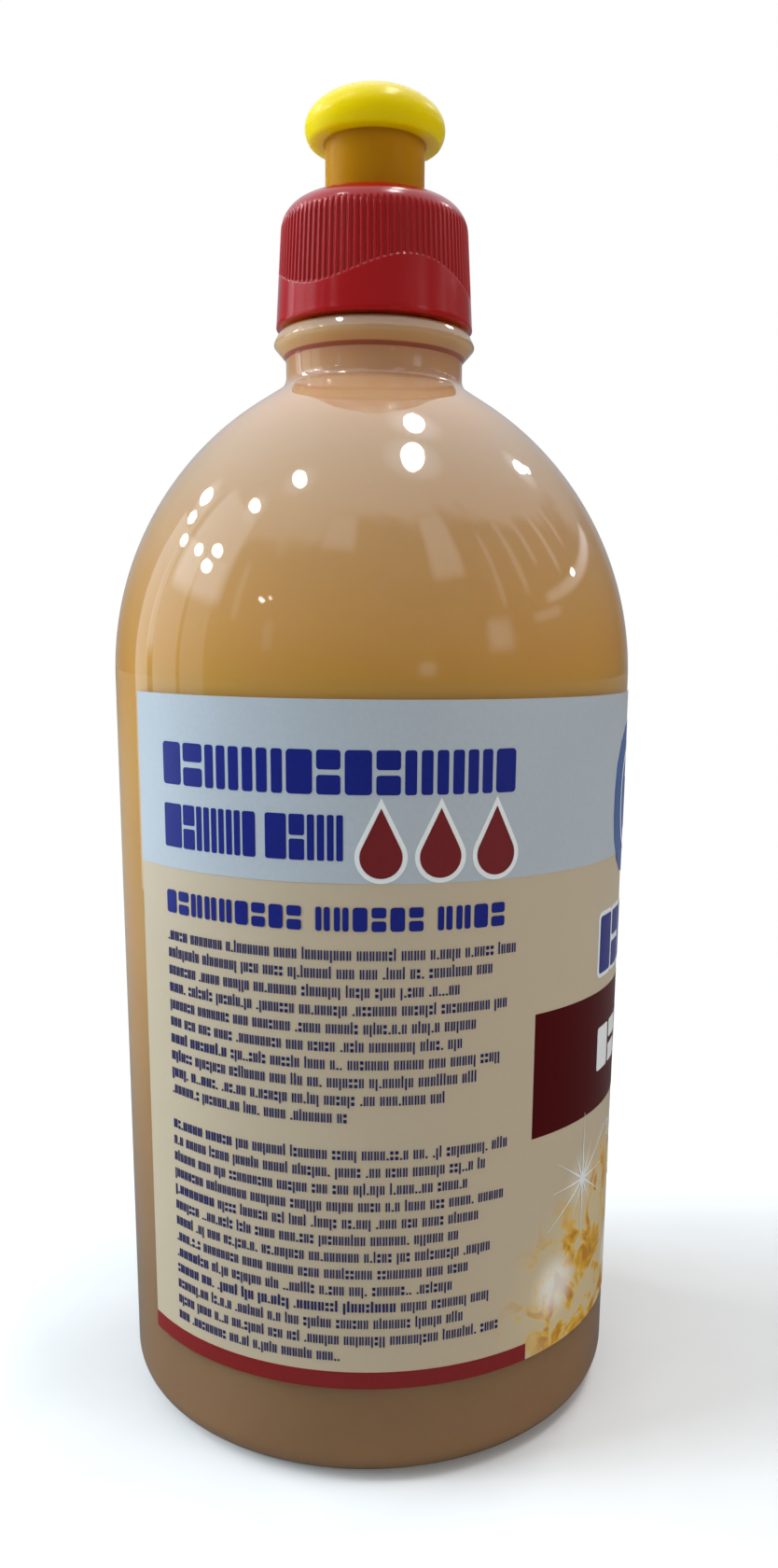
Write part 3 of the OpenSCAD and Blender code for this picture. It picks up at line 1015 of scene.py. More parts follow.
@dataclass
class WrapLabel:
    """The wrap film with two panels of small marks and a front panel, and the plies of ink on it."""

    body_r: float = 45.0
    glue_t: float = 0.03
    film_t: float = 0.1
    ink_t: float = 0.04
    ply_gap: float = 0.01
    foot_z: float = 17.8
    height: float = 110.8
    bare_w: float = 28.7
    start: float = -56.3
    panel_w: float = 72.0
    sky_h: float = 27.2
    line_h: float = 3.0
    band_y: float = 39.6
    band_h: float = 21.2
    margin: float = 7.8
    print_end: float = 5.0
    small_h: float = 1.5
    line_pitch: float = 2.89
    line_drop: float = 0.62
    stroke: float = 0.25
    bold_stroke: float = 0.36
    tail: float = 0.42
    drop_r: float = 3.2
    drop_rim_r: float = 3.95
    drop_down: float = 23.2
    outline_w: float = 0.75
    facet: float = 1.1
    columns: int = 320
    seed: int = 7

    def __post_init__(self) -> None:
        """Works out the film's length, where its panels start and the front panel's rows."""
        self.width = TURN * self.body_r - self.bare_w
        self.film_r = self.body_r + self.glue_t
        self.print_r = self.film_r + self.film_t + self.ply_gap
        self.front_x = self.panel_w
        self.front_w = self.width - 2 * self.panel_w
        self.front_mid = self.front_x + self.front_w / 2
        self.chance = random.Random(self.seed)
        self.front_row = Row(self.band_y + self.band_h + 3.1, 10,
                             (5.4, 5.0, 4.8, 5.4, 5.2, 5.0, 4.8, 5.2, 5.0, 5.4, 5.2, 6.8), 0.9)
        self.band_row = Row(self.band_y + 6.7, 7.8,
                            (5.4, 5.2, 5.0, 5.4, 5.2, 5.4, -2.4, 5.2, 5.4, 5.0, 5.4, 5.4), 0.9)
        self.badge_row = Row(self.height - 24, 9, (6.2, 6.0) * 3, 0.9)
        self.panel_rows = (
            Row(self.height - 13.9, 6.6,
                (4.2, 4.0, 3.8, 4.2, 4.2, 4.0, 3.6, 4.0, 3.6, 4.2, 4.2, 4.0, 3.4), 0.62),
            Row(self.height - 23.8, 6.9, (4.1, 2.5, 2.6, 2.4, 2.5, 2.2, -1.2, 3.4, 2.4, 2.6, 2.4), 0.42, 0.4),
            Row(self.height - 34.5, 3.7, (2.3,) * 9 + (-1.6,) + (2.2,) * 6 + (-1.6,) + (2.3,) * 4, 0.62, 0.5),
        )

    def on_body(self, flat: np.ndarray, radius: float) -> np.ndarray:
        """Points in metres on the body for points in film millimetres."""
        angle = math.radians(self.start) + flat[:, 0] / self.body_r
        return np.stack([
            radius * np.sin(angle), -radius * np.cos(angle), self.foot_z + flat[:, 1]
        ], 1) * MM

    def film(self) -> bpy.types.Object:
        """The film, spun as a thin section, with its own UV map."""
        low, high = self.film_r, self.film_r + self.film_t
        top = self.foot_z + self.height
        side = fine([(high, self.foot_z), (high, top)], 12.0)
        section = [*side, *[(low, z) for _, z in reversed(side)]]
        start = math.radians(self.start)
        piece = turned("label_wrap", section, self.columns, self.width / self.body_r, start)
        mesh = piece.data
        co = np.empty(len(mesh.vertices) * 3, np.float32)
        mesh.vertices.foreach_get("co", co)
        co = co.reshape(-1, 3) / MM
        angle = np.arctan2(co[:, 0], -co[:, 1]) - start
        along = np.mod(angle + 0.05, TURN) - 0.05
        uv = np.stack([along * self.body_r / self.width, (co[:, 2] - self.foot_z) / self.height], 1)
        corners = np.empty(len(mesh.loops), np.int32)
        mesh.loops.foreach_get("vertex_index", corners)
        layer = mesh.uv_layers.new(name="film")
        layer.data.foreach_set("uv", uv[corners].astype(np.float32).ravel())
        return piece

    def small_line(self, stencil: Stencil, x: float, y: float, w: float, heavy: int) -> None:
        """One line of small upright marks in word-like groups.

        Args:
            stencil: What it is cut into.
            x: Its left end.
            y: Its foot.
            w: Its length.
            heavy: How many of its first groups are bold.
        """
        end, group, h = x + w, 0, self.small_h
        while x < end - 1.0:
            stroke = self.bold_stroke if group < heavy else self.stroke
            for _ in range(self.chance.randint(3, 9)):
                if x > end:
                    break
                kind = self.chance.random()
                if kind < 0.62:
                    stencil.tile(x, y, stroke, h)
                    stencil.tile(x + stroke + 0.2, y + 0.02, stroke * 0.9, h)
                    x += 2 * stroke + 0.46
                elif kind < 0.78:
                    rise = self.tail if kind < 0.7 else 0.0
                    stencil.tile(x, y - self.tail + rise, stroke, h + self.tail)
                    x += stroke + 0.3
                elif kind < 0.92:
                    stencil.tile(x, y, 0.5, h * 0.36)
                    stencil.tile(x, y + h * 0.62, 0.5, h * 0.36)
                    x += 0.78
                else:
                    stencil.tile(x, y, 0.3, 0.3)
                    x += 0.55
            x += 0.62
            group += 1

    def text_panel(self, navy: Stencil, small: Stencil, x: float) -> None:
        """Headings and small lines of one text panel."""
        wide = self.panel_w - self.margin - self.print_end
        left = x + self.margin
        for row in self.panel_rows:
            row.cut(navy, left)
        blocks = ((72.4, (1, 0, 0, 1, 0, 0, 2, 1, 2, 0)), (40.3, (2, 0, 0, 0, 1, 0, 0, 0, 1, 7, 0, 0, 0)))
        for first_y, heavy in blocks:
            for line, bold in enumerate(heavy):
                short = 0.45 if line == len(heavy) - 1 else (line * 37 % 11) / 60
                y = first_y - line * self.line_pitch - self.line_drop
                self.small_line(small, left, y, wide * (1 - short), bold)

    def make(self) -> None:
        """Builds the film and its plies of ink."""
        glows = ((79.0, 11.1, 7.0, 0.6), (86.5, 28.3, 6.0, 0.25), (104.0, 8.0, 7.0, 0.6),
                 (150.0, 26.0, 8.0, 0.6), (166.0, 9.0, 8.0, 0.7))
        finish = PrintedFilm("printed_film", (self.width, self.height), glows)
        dress(self.film(), finish, Body.BOTTLE, Slot.FILM, "label_film")
        sky = Stencil(self, 0)
        sky.tile(0, self.height - self.sky_h, self.width, self.sky_h)
        ink = Ink("sky_ink", tint(179, 185, 190), tint(172, 179, 185), 0.3)
        sky.dress("label_sky", ink, Slot.SKY, "label_sky_print")
        self.make_reds()
        self.make_navy()
        self.make_whites()

    def make_reds(self) -> None:
        """Foot lines, band and drops."""
        band = Stencil(self, 0)
        band.tile(self.front_x, self.band_y, self.front_w, self.band_h)
        ink = Ink("deep_red_ink", tint(74, 8, 11), tint(68, 7, 10), shine=0.05)
        band.dress("label_red_band", ink, Slot.RED_INK, "label_red_print")
        line = Stencil(self, 0)
        for x in (0, self.front_x + self.front_w):
            line.tile(x, 0, self.panel_w, self.line_h)
        ink = Ink("foot_line_ink", tint(134, 18, 18), tint(124, 15, 16))
        line.dress("label_red_foot_line", ink, Slot.RED_INK)
        drops = Stencil(self, 2)
        for x in self.drop_places():
            drops.drop(x, self.height - self.drop_down, self.drop_r, 2.3)
        ink = Ink("dark_red_ink", tint(116, 14, 18), tint(106, 11, 16))
        drops.dress("label_red_drops", ink, Slot.RED_INK)

    def drop_places(self) -> list[float]:
        """Where the drops stand on the film."""
        return [x + 45.5 + 9 * i for x in (0, self.front_x + self.front_w) for i in range(3)]

    def make_navy(self) -> None:
        """Text panels, the front panel's heading and its rounded shape."""
        navy, small, shape = Stencil(self, 1), Stencil(self, 1), Stencil(self, 1)
        self.text_panel(navy, small, 0)
        self.text_panel(navy, small, self.front_x + self.front_w)
        self.front_row.cut(navy, self.front_mid - 37)
        ink = Ink("navy_ink", tint(10, 24, 112), tint(16, 30, 124), shine=0.25)
        navy.dress("label_navy_marks", ink, Slot.NAVY_INK, "label_navy_print")
        ink = Ink("text_ink", tint(18, 24, 84), tint(26, 32, 96), shine=0.25)
        small.dress("label_small_text", ink, Slot.NAVY_INK)
        shape.tile(self.front_mid - 32.5, self.height - 31.6, 65, 26.6, 11)
        ink = Ink("blue_ink", tint(44, 84, 150), tint(38, 76, 140), shine=0.25)
        shape.dress("label_blue_shape", ink, Slot.NAVY_INK)

    def badge_rim(self, wide: float, high: float) -> np.ndarray:
        """Evenly spaced points of a squarish oval about the origin.

        Args:
            wide: Half its width.
            high: Half its height.

        Returns:
            The points, no further apart than a facet.
        """
        turn = np.linspace(0, TURN, 5761)
        run = np.stack([np.sign(np.cos(turn)) * np.abs(np.cos(turn)) ** 0.55 * wide,
                        np.sign(np.sin(turn)) * np.abs(np.sin(turn)) ** 0.7 * high], 1)
        along = np.concatenate([[0], np.cumsum(np.linalg.norm(np.diff(run, axis=0), axis=1))])
        places = np.linspace(0, along[-1], math.ceil(along[-1] / self.facet) + 1)[:-1]
        return np.stack([np.interp(places, along, run[:, k]) for k in (0, 1)], 1)

    def make_whites(self) -> None:
        """Outlines, the rows on the shape and on the band, sparkles and bubbles."""
        under, halo, over = Stencil(self, 1), Stencil(self, 0), Stencil(self, 2)
        for x in self.drop_places():
            under.drop(x, self.height - self.drop_down, self.drop_rim_r, 2.25)
        rays = ((90, 1.0), (0, 0.75), (33, 1.0), (147, 0.8), (62, 0.55), (118, 0.55))
        for x, y, size in ((86.5, 28.3, 12.0), (118.0, 30.0, 6.5), (139.0, 22.0, 8.0), (164.0, 31.0, 6.0)):
            for turn, share in rays:
                under.ray(x, y, size * share, 0.5, turn)
        bubbles = ((108, 24, 3.4), (114, 18, 1.9), (128, 26, 2.6), (147, 13, 3.8),
                   (154, 20, 1.7), (100, 33, 1.5))
        for x, y, size in bubbles:
            under.disc(x, y, size, size, 0.86)
            under.disc(x - size * 0.35, y + size * 0.4, size * 0.16, size * 0.12)
        self.band_row.cut(under, self.front_mid - 36.4)
        ink = Ink("white_ink", tint(236, 236, 232), tint(226, 227, 226), 0.36)
        under.dress("label_white_marks", ink, Slot.WHITE_INK, "label_white_print")
        self.front_row.cut(halo, self.front_mid - 37, self.outline_w)
        ink = Ink("outline_ink", tint(232, 233, 232), tint(224, 226, 228), 0.36)
        halo.dress("label_white_outline", ink, Slot.WHITE_INK)
        self.badge_row.cut(over, self.front_mid - 20.6)
        oval, middle = self.badge_rim(28.0, 10.8), (self.front_mid, self.height - 18.3)
        over.ribbon(oval * (0.975, 0.945) + middle, oval + middle, closed=True)
        ink = Ink("rim_ink", tint(236, 238, 240), tint(228, 231, 234), 0.36)
        over.dress("label_white_rim", ink, Slot.WHITE_INK)


# The closure


@dataclass
class ScrewCap:
    """The ribbed cap with its spout well, tower and pin."""

    bottle: BlownBottle
    gap: float = 0.6
    liner_t: float = 1.3
    deck_t: float = 1.6
    foot_r: float = 16.6
    top_r: float = 15.7
    edge_r: float = 5.0
    thread_gap: float = 0.25
    skirt_corner: float = 1.2
    well_r: float = 8.55
    well_gap: float = 0.3
    plug_gap: float = 1.15
    stem_sunk: float = 8.7
    stem_lip_h: float = 1.2
    travel: float = 5.5
    slide_gap: float = 0.2
    floor_t: float = 1.2
    tower_r: float = 6.6
    tower_wall: float = 1.2
    tower_over: float = 0.7
    bead_r: float = 7.05
    pin_r: float = 1.9
    pin_below: float = 0.4
    head_show: float = 8.9
    head_h: float = 8.4
    dish_h: float = 0.35
    ribs: int = 96
    rib_depth: float = 0.3
    rib_columns: int = 10
    wave_low: float = 4.6
    wave_h: float = 3.9
    wave_rise: float = 60.0
    wave_trough: float = -36.0
    waves: int = 3
    scoop: float = 0.42
    foot_round: float = 0.25

    def __post_init__(self) -> None:
        """Works out the cap's levels and inner radii."""
        self.foot_z = self.bottle.ring_top_z + self.gap
        self.deck_low_z = self.bottle.lip_z + self.liner_t
        self.deck_z = self.deck_low_z + self.deck_t
        self.bore_r = self.bottle.finish_r + self.bottle.thread_depth + self.thread_gap
        self.round_z = self.deck_z - self.edge_r
        self.slope = (self.foot_r - self.top_r) / (self.round_z - self.foot_z)
        self.edge_z = self.foot_z + self.wave_low + self.wave_h / 2
        self.stem_foot_z = self.deck_z - self.stem_sunk
        self.floor_z = self.stem_foot_z - self.well_gap
        self.plug_r = self.bottle.bore_r - self.plug_gap
        self.bead_z = self.stem_foot_z + self.stem_lip_h + self.travel + self.slide_gap
        self.head_z = self.deck_z + self.head_show
        self.tower_top_z = self.head_z + self.tower_over
        self.pin_top_z = self.head_z + self.head_h - self.dish_h - self.pin_below

    def section(self) -> list[Point]:
        """Once round the cap's half section."""
        levels = [
            *np.linspace(self.foot_z + 0.9, self.edge_z - 1.2, 4),
            *[self.edge_z + step for step in (-0.5, -0.1, 0, 0.1, 0.2, 0.32, 0.44, 0.6, 0.9)],
            *np.linspace(self.edge_z + 1.8, self.round_z - 0.3, 8),
        ]
        skirt = [
            (self.foot_r - self.foot_round, self.foot_z),
            *arc((self.foot_r - self.foot_round, self.foot_z + self.foot_round), self.foot_round, -60, 0, 2),
            *[(self.skirt_r(z), z) for z in levels],
            *arc((self.top_r - self.edge_r, self.round_z), self.edge_r, 0, 90, 22),
        ]
        inner = rounded([
            (self.well_r + 0.35, self.deck_z),
            (self.well_r, self.deck_z - 0.35),
            (self.well_r, self.floor_z),
            (self.tower_r, self.floor_z),
            (self.tower_r, self.bead_z),
            (self.bead_r, self.bead_z + 0.5),
            (self.tower_r, self.bead_z + 1),
            (self.tower_r, self.tower_top_z - 0.5),
            (self.tower_r - 0.5, self.tower_top_z),
            (self.tower_r - self.tower_wall, self.tower_top_z),
            (self.tower_r - self.tower_wall, self.floor_z - self.floor_t),
            (self.plug_r, self.floor_z - self.floor_t),
            (self.plug_r, self.deck_low_z),
            (self.bore_r - self.skirt_corner, self.deck_low_z),
            (self.bore_r, self.deck_low_z - self.skirt_corner),
            (self.bore_r, self.foot_z),
        ], 0.2, 2)
        return [*skirt, *inner]

    def skirt_r(self, height: float) -> float:
        """Radius of the plain skirt at a height."""
        return self.foot_r - self.slope * (height - self.foot_z)

    def cut(self, angle: np.ndarray, radius: np.ndarray, height: np.ndarray) -> tuple:
        """Cuts the grooves, which end in scoops along a wavy line below and run out in the rounded edge."""
        turn = np.degrees(angle)
        period = 360 / self.waves
        phase = np.mod(turn - self.wave_trough, period)
        wave = np.where(
            phase < self.wave_rise,
            (1 - np.cos(np.pi * phase / self.wave_rise)) / 2,
            (1 + np.cos(np.pi * (phase - self.wave_rise) / (period - self.wave_rise))) / 2,
        )
        edge = self.foot_z + self.wave_low + self.wave_h * wave
        outside = radius > self.bore_r + 0.3
        above_foot = height > self.foot_z + self.foot_round + 0.1
        skirt = outside & above_foot & (height < self.round_z - 0.1)
        lower = self.foot_z + (height - self.foot_z) * (edge - self.foot_z) / (self.edge_z - self.foot_z)
        upper = self.round_z - (self.round_z - height) * (self.round_z - edge) / (self.round_z - self.edge_z)
        new_z = np.where(skirt, np.where(height < self.edge_z, lower, upper), height)
        near = skirt & (np.abs(height - self.edge_z) < 0.95)
        new_z = np.where(near, edge + height - self.edge_z, new_z)
        plain = self.foot_r - self.slope * (new_z - self.foot_z)
        rib = ramped(0.5 + 0.5 * np.cos(angle * self.ribs), 0.2, 0.96)
        depth = self.rib_depth * (1 - rib) * ramped(new_z, edge, edge + self.scoop)
        on_side = outside & above_foot & (height < self.deck_z - 0.5)
        grooved = np.minimum(np.where(skirt, plain, radius), plain - depth)
        return np.where(on_side, grooved, radius), new_z

    def thread(self) -> bpy.types.Object:
        """The thread inside the skirt, as one swept ridge."""
        b = self.bottle
        steps, first, last = 45, 90.0, 360 * b.thread_turns
        turn = np.linspace(first, last, steps + 1)
        rise = np.clip(np.minimum(turn - first, last - turn) / b.run_out, 0.04, 1)
        level = b.thread_z - b.pitch / 2 + b.pitch * turn / 360
        angle = np.radians(turn)
        sunk, crest = np.full(len(turn), self.bore_r + 0.3), self.bore_r - rise
        corners = [np.stack([radius * np.cos(angle), radius * np.sin(angle), level + off], 1)
                   for radius, off in ((sunk, -1.0), (crest, -0.5), (crest, 0.5), (sunk, 1.0))]
        points = np.stack(corners, 1).reshape(-1, 3) * MM
        faces = [[4 * i + k, 4 * i + 4 + k, 4 * i + 4 + (k + 1) % 4, 4 * i + (k + 1) % 4]
                 for i in range(steps) for k in range(4)]
        faces += [[0, 1, 2, 3], [4 * steps + 3, 4 * steps + 2, 4 * steps + 1, 4 * steps]]
        piece = from_points("cap_thread", points, faces)
        take_up(piece)
        bpy.ops.object.mode_set(mode="EDIT")
        bpy.ops.mesh.select_all(action="SELECT")
        bpy.ops.mesh.normals_make_consistent(inside=False)
        bpy.ops.object.mode_set(mode="OBJECT")
        smooth(piece)
        return piece

    def pin(self) -> bpy.types.Object:
        """The pin that closes the outlet, on three spokes in the tower."""
        foot = self.tower_top_z - 2
        tip = arc((self.pin_r - 0.4, self.pin_top_z - 0.4), 0.4, 0, 90, 4)
        section = [(0, foot), (self.pin_r, foot), *tip, (0, self.pin_top_z)]
        pin = turned("spout_pin", section, 48)
        parts = [pin]
        for turn in range(3):
            bpy.ops.object.select_all(action="DESELECT")
            reach = self.tower_r - self.tower_wall / 2 - 0.5
            bpy.ops.mesh.primitive_cube_add(size=1.0, location=(0, 0, 0))
            spoke = bpy.context.object
            spoke.data.transform(
                Matrix.Rotation(TURN * turn / 3, 4, "Z")
                @ Matrix.Translation(Vector((0.5 + reach / 2, 0, foot + 1)) * MM)
                @ Matrix.Diagonal((reach * MM, 1.6 * MM, 2 * MM, 1))
            )
            bevel = spoke.modifiers.new("edge", "BEVEL")
            bevel.width, bevel.segments = 0.2 * MM, 2
            bpy.ops.object.modifier_apply(modifier=bevel.name)
            parts.append(spoke)
        bpy.ops.object.select_all(action="DESELECT")
        for part in parts:
            part.select_set(True)
        bpy.context.view_layer.objects.active = pin
        bpy.ops.object.join()
        smooth(pin)
        return pin

    def make(self) -> None:
        """Builds the cap and dresses its pieces."""
        finish = MouldedPlastic("red_moulded_plastic", tint(161, 12, 14), tint(150, 10, 12), 0.16, 0.28)
        cap = turned("screw_cap", self.section(), self.ribs * self.rib_columns)
        push(cap, self.cut)
        smooth(cap, 50.0)
        dress(cap, finish, Body.CAP, Slot.RED_PLASTIC, "cap")
        dress(self.thread(), finish, Body.CAP, Slot.RED_PLASTIC)
        dress(self.pin(), finish, Body.CAP, Slot.RED_PLASTIC)


@dataclass
class PullTop:
    """The mushroom head on its stem, which slides up to open."""

    cap: ScrewCap
    stem_r: float = 8.25
    wall: float = 1.0
    lip: float = 0.45
    head_r: float = 11.6
    belly_h: float = 2.27
    undercut: float = 0.9
    outlet_r: float = 2.1
    land: float = 2.1
    dish_r: float = 3.4
    ceiling_h: float = 2.7
    light_reach: tuple[float, float, float] = (0.007, 0.0055, 0.0006)

    def section(self) -> list[Point]:
        """Once round the pull top's half section."""
        foot, head_z = self.cap.stem_foot_z, self.cap.head_z
        lip_top = foot + self.cap.stem_lip_h
        bore = self.stem_r - self.wall
        mid, high = head_z + self.belly_h, self.cap.head_h - self.belly_h
        end = math.degrees(math.acos(self.dish_r / self.head_r))
        outside = [(self.head_r * math.cos(math.radians(a)), mid + high * math.sin(math.radians(a)))
                   for a in np.linspace(-18, end, 40)]
        top = head_z + self.cap.head_h - self.cap.dish_h
        under = rounded([
            (bore - self.lip, foot), (self.stem_r, foot), (self.stem_r, head_z),
            (self.head_r - self.undercut, head_z), outside[0], outside[3],
        ], 0.35)
        inner = rounded([
            outside[-1], (self.outlet_r + 0.5, top), (self.outlet_r, top - 0.3),
            (self.outlet_r, top - self.land), (bore, head_z + self.ceiling_h), (bore, lip_top + 0.4),
            (bore - self.lip, lip_top),
        ], 0.25)
        return [*under[:-1], *outside[3:-1], *inner]

    def make(self) -> None:
        """Builds the pull top and dresses it."""
        # The stem gets painted shade: deeper amber where the head shades it and the red cap reflects in it.
        finish = MouldedPlastic(
            "yellow_moulded_plastic", tint(225, 199, 0), tint(219, 189, 0), 0.24, 0.12, 0.75,
            self.light_reach, tint(190, 126, 8), (self.stem_r + 0.1) * MM, self.cap.head_z * MM
        )
        top = turned("pull_top_head", self.section(), 128)
        dress(top, finish, Body.PULL_TOP, Slot.YELLOW_PLASTIC, "pull_top")


# Stage, lamps and camera


@dataclass
class Studio:
    """Pale floor, plain soft light with small ceiling lamps, and the camera at the photograph's angle."""

    lens: float = 29.054
    camera_at: tuple[float, float, float] = (0.0, -0.229957, 0.138285)
    pitch: float = 0.2046
    yaw: float = 0.0284
    roll: float = 0.0096
    shift: Point = (-0.01174, 0.0702)
    aim_z: float = 0.15
    far: float = 2.0
    strip_far: float = 0.5
    strip_h: float = 0.44
    ceiling_way: tuple[float, float, float] = (-0.08, 0.38, 0.92)
    sky_light: Point = (0.17, 0.39)
    rear_glow: float = 0.24
    strip_shade: tuple[float, float, float] = (0.84, 0.95, 1.06)
    ceiling_glow: float = 1.6
    ceiling_shade: Colour = (0.92, 1.0, 1.06, 1.0)
    left_shade: Colour = (0.82, 0.98, 1.14, 1.0)
    # bearing, height, half width and half height in degrees, and glow
    panels: tuple[tuple[float, float, float, float, float], ...] = (
        (38, 46, 9, 12, 2.0), (-20, 52, 10, 7, 2.0), (112, 21, 26, 1.6, 1.8), (57, 14, 6, 5, 1.8),
        (23, 4, 4, 2.5, 1.4), (62, 34, 1.5, 12, 1.4), (76, 36, 1.8, 12, 1.4), (88, 40, 1.6, 10, 1.5),
        (101, 38, 1.6, 13, 1.5), (113, 40, 1.4, 12, 1.3), (84, 17, 9, 1.5, 1.3), (-90, 34, 17, 14, 2.8),
        (-112, 24, 2.5, 20, 1.8), (-64, 26, 2.0, 9, 1.2), (-46, 14, 2.5, 5, 1.1),
    )
    # bearing, height and reach in degrees, and glow
    halos: tuple[tuple[float, float, float, float], ...] = (
        (141, 72, 9, 1.6), (73, 77, 11, 1.8), (-71, 64, 7, 1.2), (-82, 49, 6, 1.2), (-118, 37, 6, 1.2),
        (128, 42, 6, 1.2),
    )
    # bearing and height in degrees, size in metres, and glow
    sparks: tuple[tuple[float, float, float, float], ...] = (
        (141, 72, 0.25, 22), (73, 77, 0.33, 26), (-71, 64, 0.2, 26), (-82, 49, 0.16, 26),
        (-118, 37, 0.18, 26),
        (-116, 32, 0.13, 24), (-111, 28, 0.12, 24), (-97, 30, 0.13, 24), (-85, 33, 0.15, 26),
        (-87, 28, 0.15, 26), (128, 42, 0.15, 22), (131, 39, 0.09, 14), (109, 22, 0.08, 20),
        (-51, 24, 0.07, 20), (-47, 25, 0.05, 12),
    )
    # bearing in degrees, width in metres, and glow
    strips: tuple[tuple[float, float, float], ...] = ((-80, 0.12, 0.8), (-97, 0.14, 1.1), (-115, 0.1, 1.2))

    def camera(self) -> None:
        """The camera, placed by its pitch, yaw and roll."""
        data = bpy.data.cameras.new("camera")
        data.lens, data.sensor_width, data.sensor_fit = self.lens, 36.0, "AUTO"
        data.shift_x, data.shift_y = self.shift
        data.clip_start, data.clip_end = 0.005, 50.0
        ahead = Vector((math.sin(self.yaw) * math.cos(self.pitch), math.cos(self.yaw) * math.cos(self.pitch),
                        -math.sin(self.pitch)))
        side = Vector((math.cos(self.yaw), -math.sin(self.yaw), 0))
        up = side.cross(ahead)
        right = side * math.cos(self.roll) + up * math.sin(self.roll)
        top = up * math.cos(self.roll) - side * math.sin(self.roll)
        camera = bpy.data.objects.new("camera", data)
        turn = Matrix((right, top, -ahead)).transposed().to_4x4()
        camera.matrix_world = Matrix.Translation(self.camera_at) @ turn
        bpy.context.scene.collection.objects.link(camera)
        bpy.context.scene.camera = camera

    @staticmethod
    def floor() -> None:
        """A pale round floor that fades to white away from the bottle."""
        bpy.ops.object.select_all(action="DESELECT")
        bpy.ops.mesh.primitive_circle_add(vertices=96, radius=6.0, fill_type="NGON", location=(0, 0, 0))
        floor = bpy.context.object
        floor.name = "floor"
        floor.data.materials.append(PaleFloor("pale_floor").material())

    def world(self) -> None:
        """White for what is seen behind it, soft grey for what lights it, a room for what it mirrors."""
        world = bpy.data.worlds.new("studio")
        bpy.context.scene.world = world
        world.use_nodes = True
        world.node_tree.nodes.clear()
        board = Board(world.node_tree)
        way = board.add("ShaderNodeTexCoord").outputs["Generated"]
        x, y, z = board.add("ShaderNodeSeparateXYZ", Vector=way).outputs
        rays = board.add("ShaderNodeLightPath").outputs
        lit = board.ramp(z, 0.1, 0.9, *self.sky_light)
        strength = board.level(rays["Is Glossy Ray"], lit, self.mirrored(board, way, x, y, z))
        seen = board.maths("MAXIMUM", rays["Is Camera Ray"], rays["Is Transmission Ray"])
        shade = board.blend(board.ramp(x, -0.75, 0.1), self.left_shade, self.ceiling_shade)
        back = board.add("ShaderNodeBackground", Color=board.blend(seen, shade, WHITE),
                         Strength=board.level(seen, strength, 1.0))
        board.add("ShaderNodeOutputWorld", Surface=back.outputs[0])

    def mirrored(self, board: Board, way: Socket, x: Socket,
                 y: Socket, z: Socket) -> Socket:
        """How bright the room is in a mirror, by direction: walls, a pale ceiling, soft panels and halos.

        Args:
            board: The world's board.
            way: The direction.
            x: Its part to the right.
            y: Its part away from the front.
            z: Its part upwards.

        Returns:
            The strength.
        """
        ragged = board.maths("MULTIPLY", board.maths("SUBTRACT", board.noise(way, 3.2, 2.0), 0.5), 0.5)
        reach = board.maths("ADD", board.vectors("DOT_PRODUCT", way, self.ceiling_way)["Value"], ragged)
        ceiling = board.maths("MULTIPLY", board.ramp(reach, 0.47, 0.6, 0.0, self.ceiling_glow),
                              board.ramp(z, 0.2, 0.95, 0.05, 1.0))
        walls = board.maths("MULTIPLY", board.ramp(z, 0.0, 0.35, 0.12, 0.36),
                            board.ramp(y, -0.3, 0.7, 1.0, 0.6))
        rear = board.ramp(y, 0.75, 0.98, 0.0, self.rear_glow)
        total = board.maths("ADD", board.maths("ADD", walls, rear), ceiling)
        bearing = board.maths("ARCTAN2", x, board.maths("MULTIPLY", y, -1.0))
        height = board.maths("ARCSINE", z)
        for panel_bearing, panel_height, half_wide, half_high, glow in self.panels:
            shares = []
            spans = ((bearing, panel_bearing, half_wide), (height, panel_height, half_high))
            for value, middle, half in spans:
                off = board.maths("ABSOLUTE", board.maths("SUBTRACT", value, math.radians(middle)))
                soft = min(half * 0.7, 3.0)
                low, high = math.radians(half - soft), math.radians(half + soft)
                shares.append(board.ramp(off, low, high, glow ** 0.5, 0.0))
            total = board.maths("MAXIMUM", total, board.maths("MULTIPLY", *shares))
        for lamp_bearing, lamp_height, wide, glow in self.halos:
            near = board.vectors("DOT_PRODUCT", way, self.toward(lamp_bearing, lamp_height))["Value"]
            edge, core = math.cos(math.radians(wide)), math.cos(math.radians(wide * 0.2))
            total = board.maths("ADD", total, board.ramp(near, edge, core, 0.0, glow))
        return total

    @staticmethod
    def toward(bearing: float, height: float) -> Vector:
        """The direction at a bearing from the front, towards the right, and a height, both in degrees."""
        b, h = math.radians(bearing), math.radians(height)
        return Vector((math.sin(b) * math.cos(h), -math.cos(b) * math.cos(h), math.sin(h)))

    @staticmethod
    def lamp(name: str, shape: str, size: Point, radiance: float, place: Vector,
             axes: tuple[Vector, Vector, Vector]) -> bpy.types.Object:
        """An area lamp.

        Args:
            name: Its name.
            shape: Its shape, as Blender names it.
            size: Its width and its length in metres.
            radiance: Its radiance, where 1 is as bright as white paper in this light.
            place: Its middle.
            axes: Its own axes; it shines against the last.

        Returns:
            The lamp.
        """
        data = bpy.data.lights.new(name, "AREA")
        data.shape, data.size, data.size_y = shape, *size
        data.energy = radiance * math.pi * size[0] * size[1] * (math.pi / 4 if shape == "ELLIPSE" else 1)
        lamp = bpy.data.objects.new(name, data)
        lamp.matrix_world = Matrix.Translation(place) @ Matrix(axes).transposed().to_4x4()
        lamp.visible_camera = False
        bpy.context.scene.collection.objects.link(lamp)
        return lamp

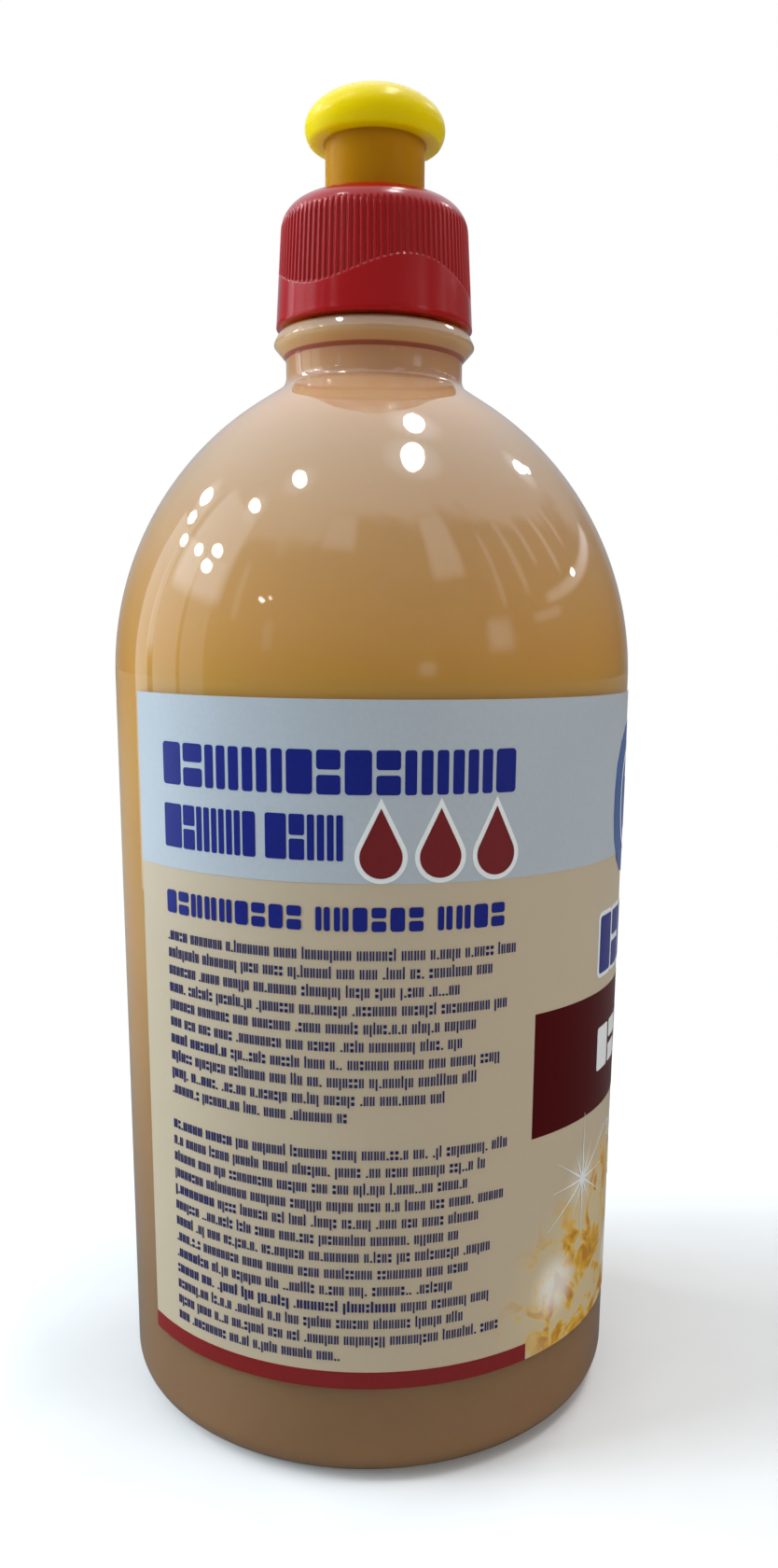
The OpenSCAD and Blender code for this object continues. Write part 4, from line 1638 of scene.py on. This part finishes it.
    def hung_lamp(self, name: str, shape: str, aim: Point, far: float, size: Point,
                  radiance: float) -> bpy.types.Object:
        """A lamp in one direction, aimed at the shoulder, its long side from front to back.

        Args:
            name: Its name.
            shape: Its shape, as Blender names it.
            aim: Its bearing and height in degrees.
            far: Its distance in metres.
            size: Its width and its length in metres.
            radiance: Its radiance.

        Returns:
            The lamp.
        """
        way = self.toward(*aim)
        along = (Vector((0, 1, 0)) - way * way.y).normalized()
        place = Vector((0, 0, self.aim_z)) + way * far
        return self.lamp(name, shape, size, radiance, place, (along.cross(way), along, way))

    def lamps(self) -> None:
        """Soft lamps that nothing mirrors, tall strips beside the bottle, and small lamps that spark."""
        for name, aim, far, side, glow, shade in (
            ("key", (-88, 22), 1.5, 1.1, 4.5, (0.79, 0.98, 1.14)),
            ("fill", (52, 15), 1.6, 0.8, 3.4, (1.0, 0.98, 0.96)),
            ("top", (-10, 80), 1.5, 1.0, 0.9, (1.0, 1.0, 1.0)),
        ):
            soft = self.hung_lamp(name, "RECTANGLE", aim, far, (side, side), glow)
            soft.data.color = shade
            soft.visible_glossy = False
        up = Vector((0, 0, 1))
        for number, (bearing, width, glow) in enumerate(self.strips):
            way = self.toward(bearing, 0)
            place = way * self.strip_far + up * self.strip_h / 2
            strip = self.lamp(f"standing_lamp_{number}", "RECTANGLE", (width, self.strip_h), glow, place,
                              (up.cross(way), up, way))
            strip.data.color = self.strip_shade
        for number, (bearing, height, size, glow) in enumerate(self.sparks):
            self.hung_lamp(f"ceiling_lamp_{number}", "ELLIPSE", (bearing, height), self.far,
                           (size * 0.8, size * 1.5), glow)

    def make(self) -> None:
        """Sets the stage."""
        self.camera()
        self.floor()
        self.world()
        self.lamps()
        bpy.context.scene.view_settings.view_transform = "Standard"


def finish_liner() -> None:
    """Gives the CAD liner its foam."""
    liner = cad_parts["cap_liner"]
    liner.data.materials.clear()
    liner.data.materials.append(SoftFoam("soft_foam").material())
    log.info("cap_liner: foam")


def main() -> None:
    """Builds the stage and each piece in order."""
    logging.basicConfig(level=logging.INFO, format="%(relativeCreated)d %(name)s %(message)s")
    Studio().make()
    bottle = BlownBottle()
    bottle.make()
    WrapLabel().make()
    cap = ScrewCap(bottle)
    cap.make()
    PullTop(cap).make()
    finish_liner()


if __name__ == "__main__":
    main()
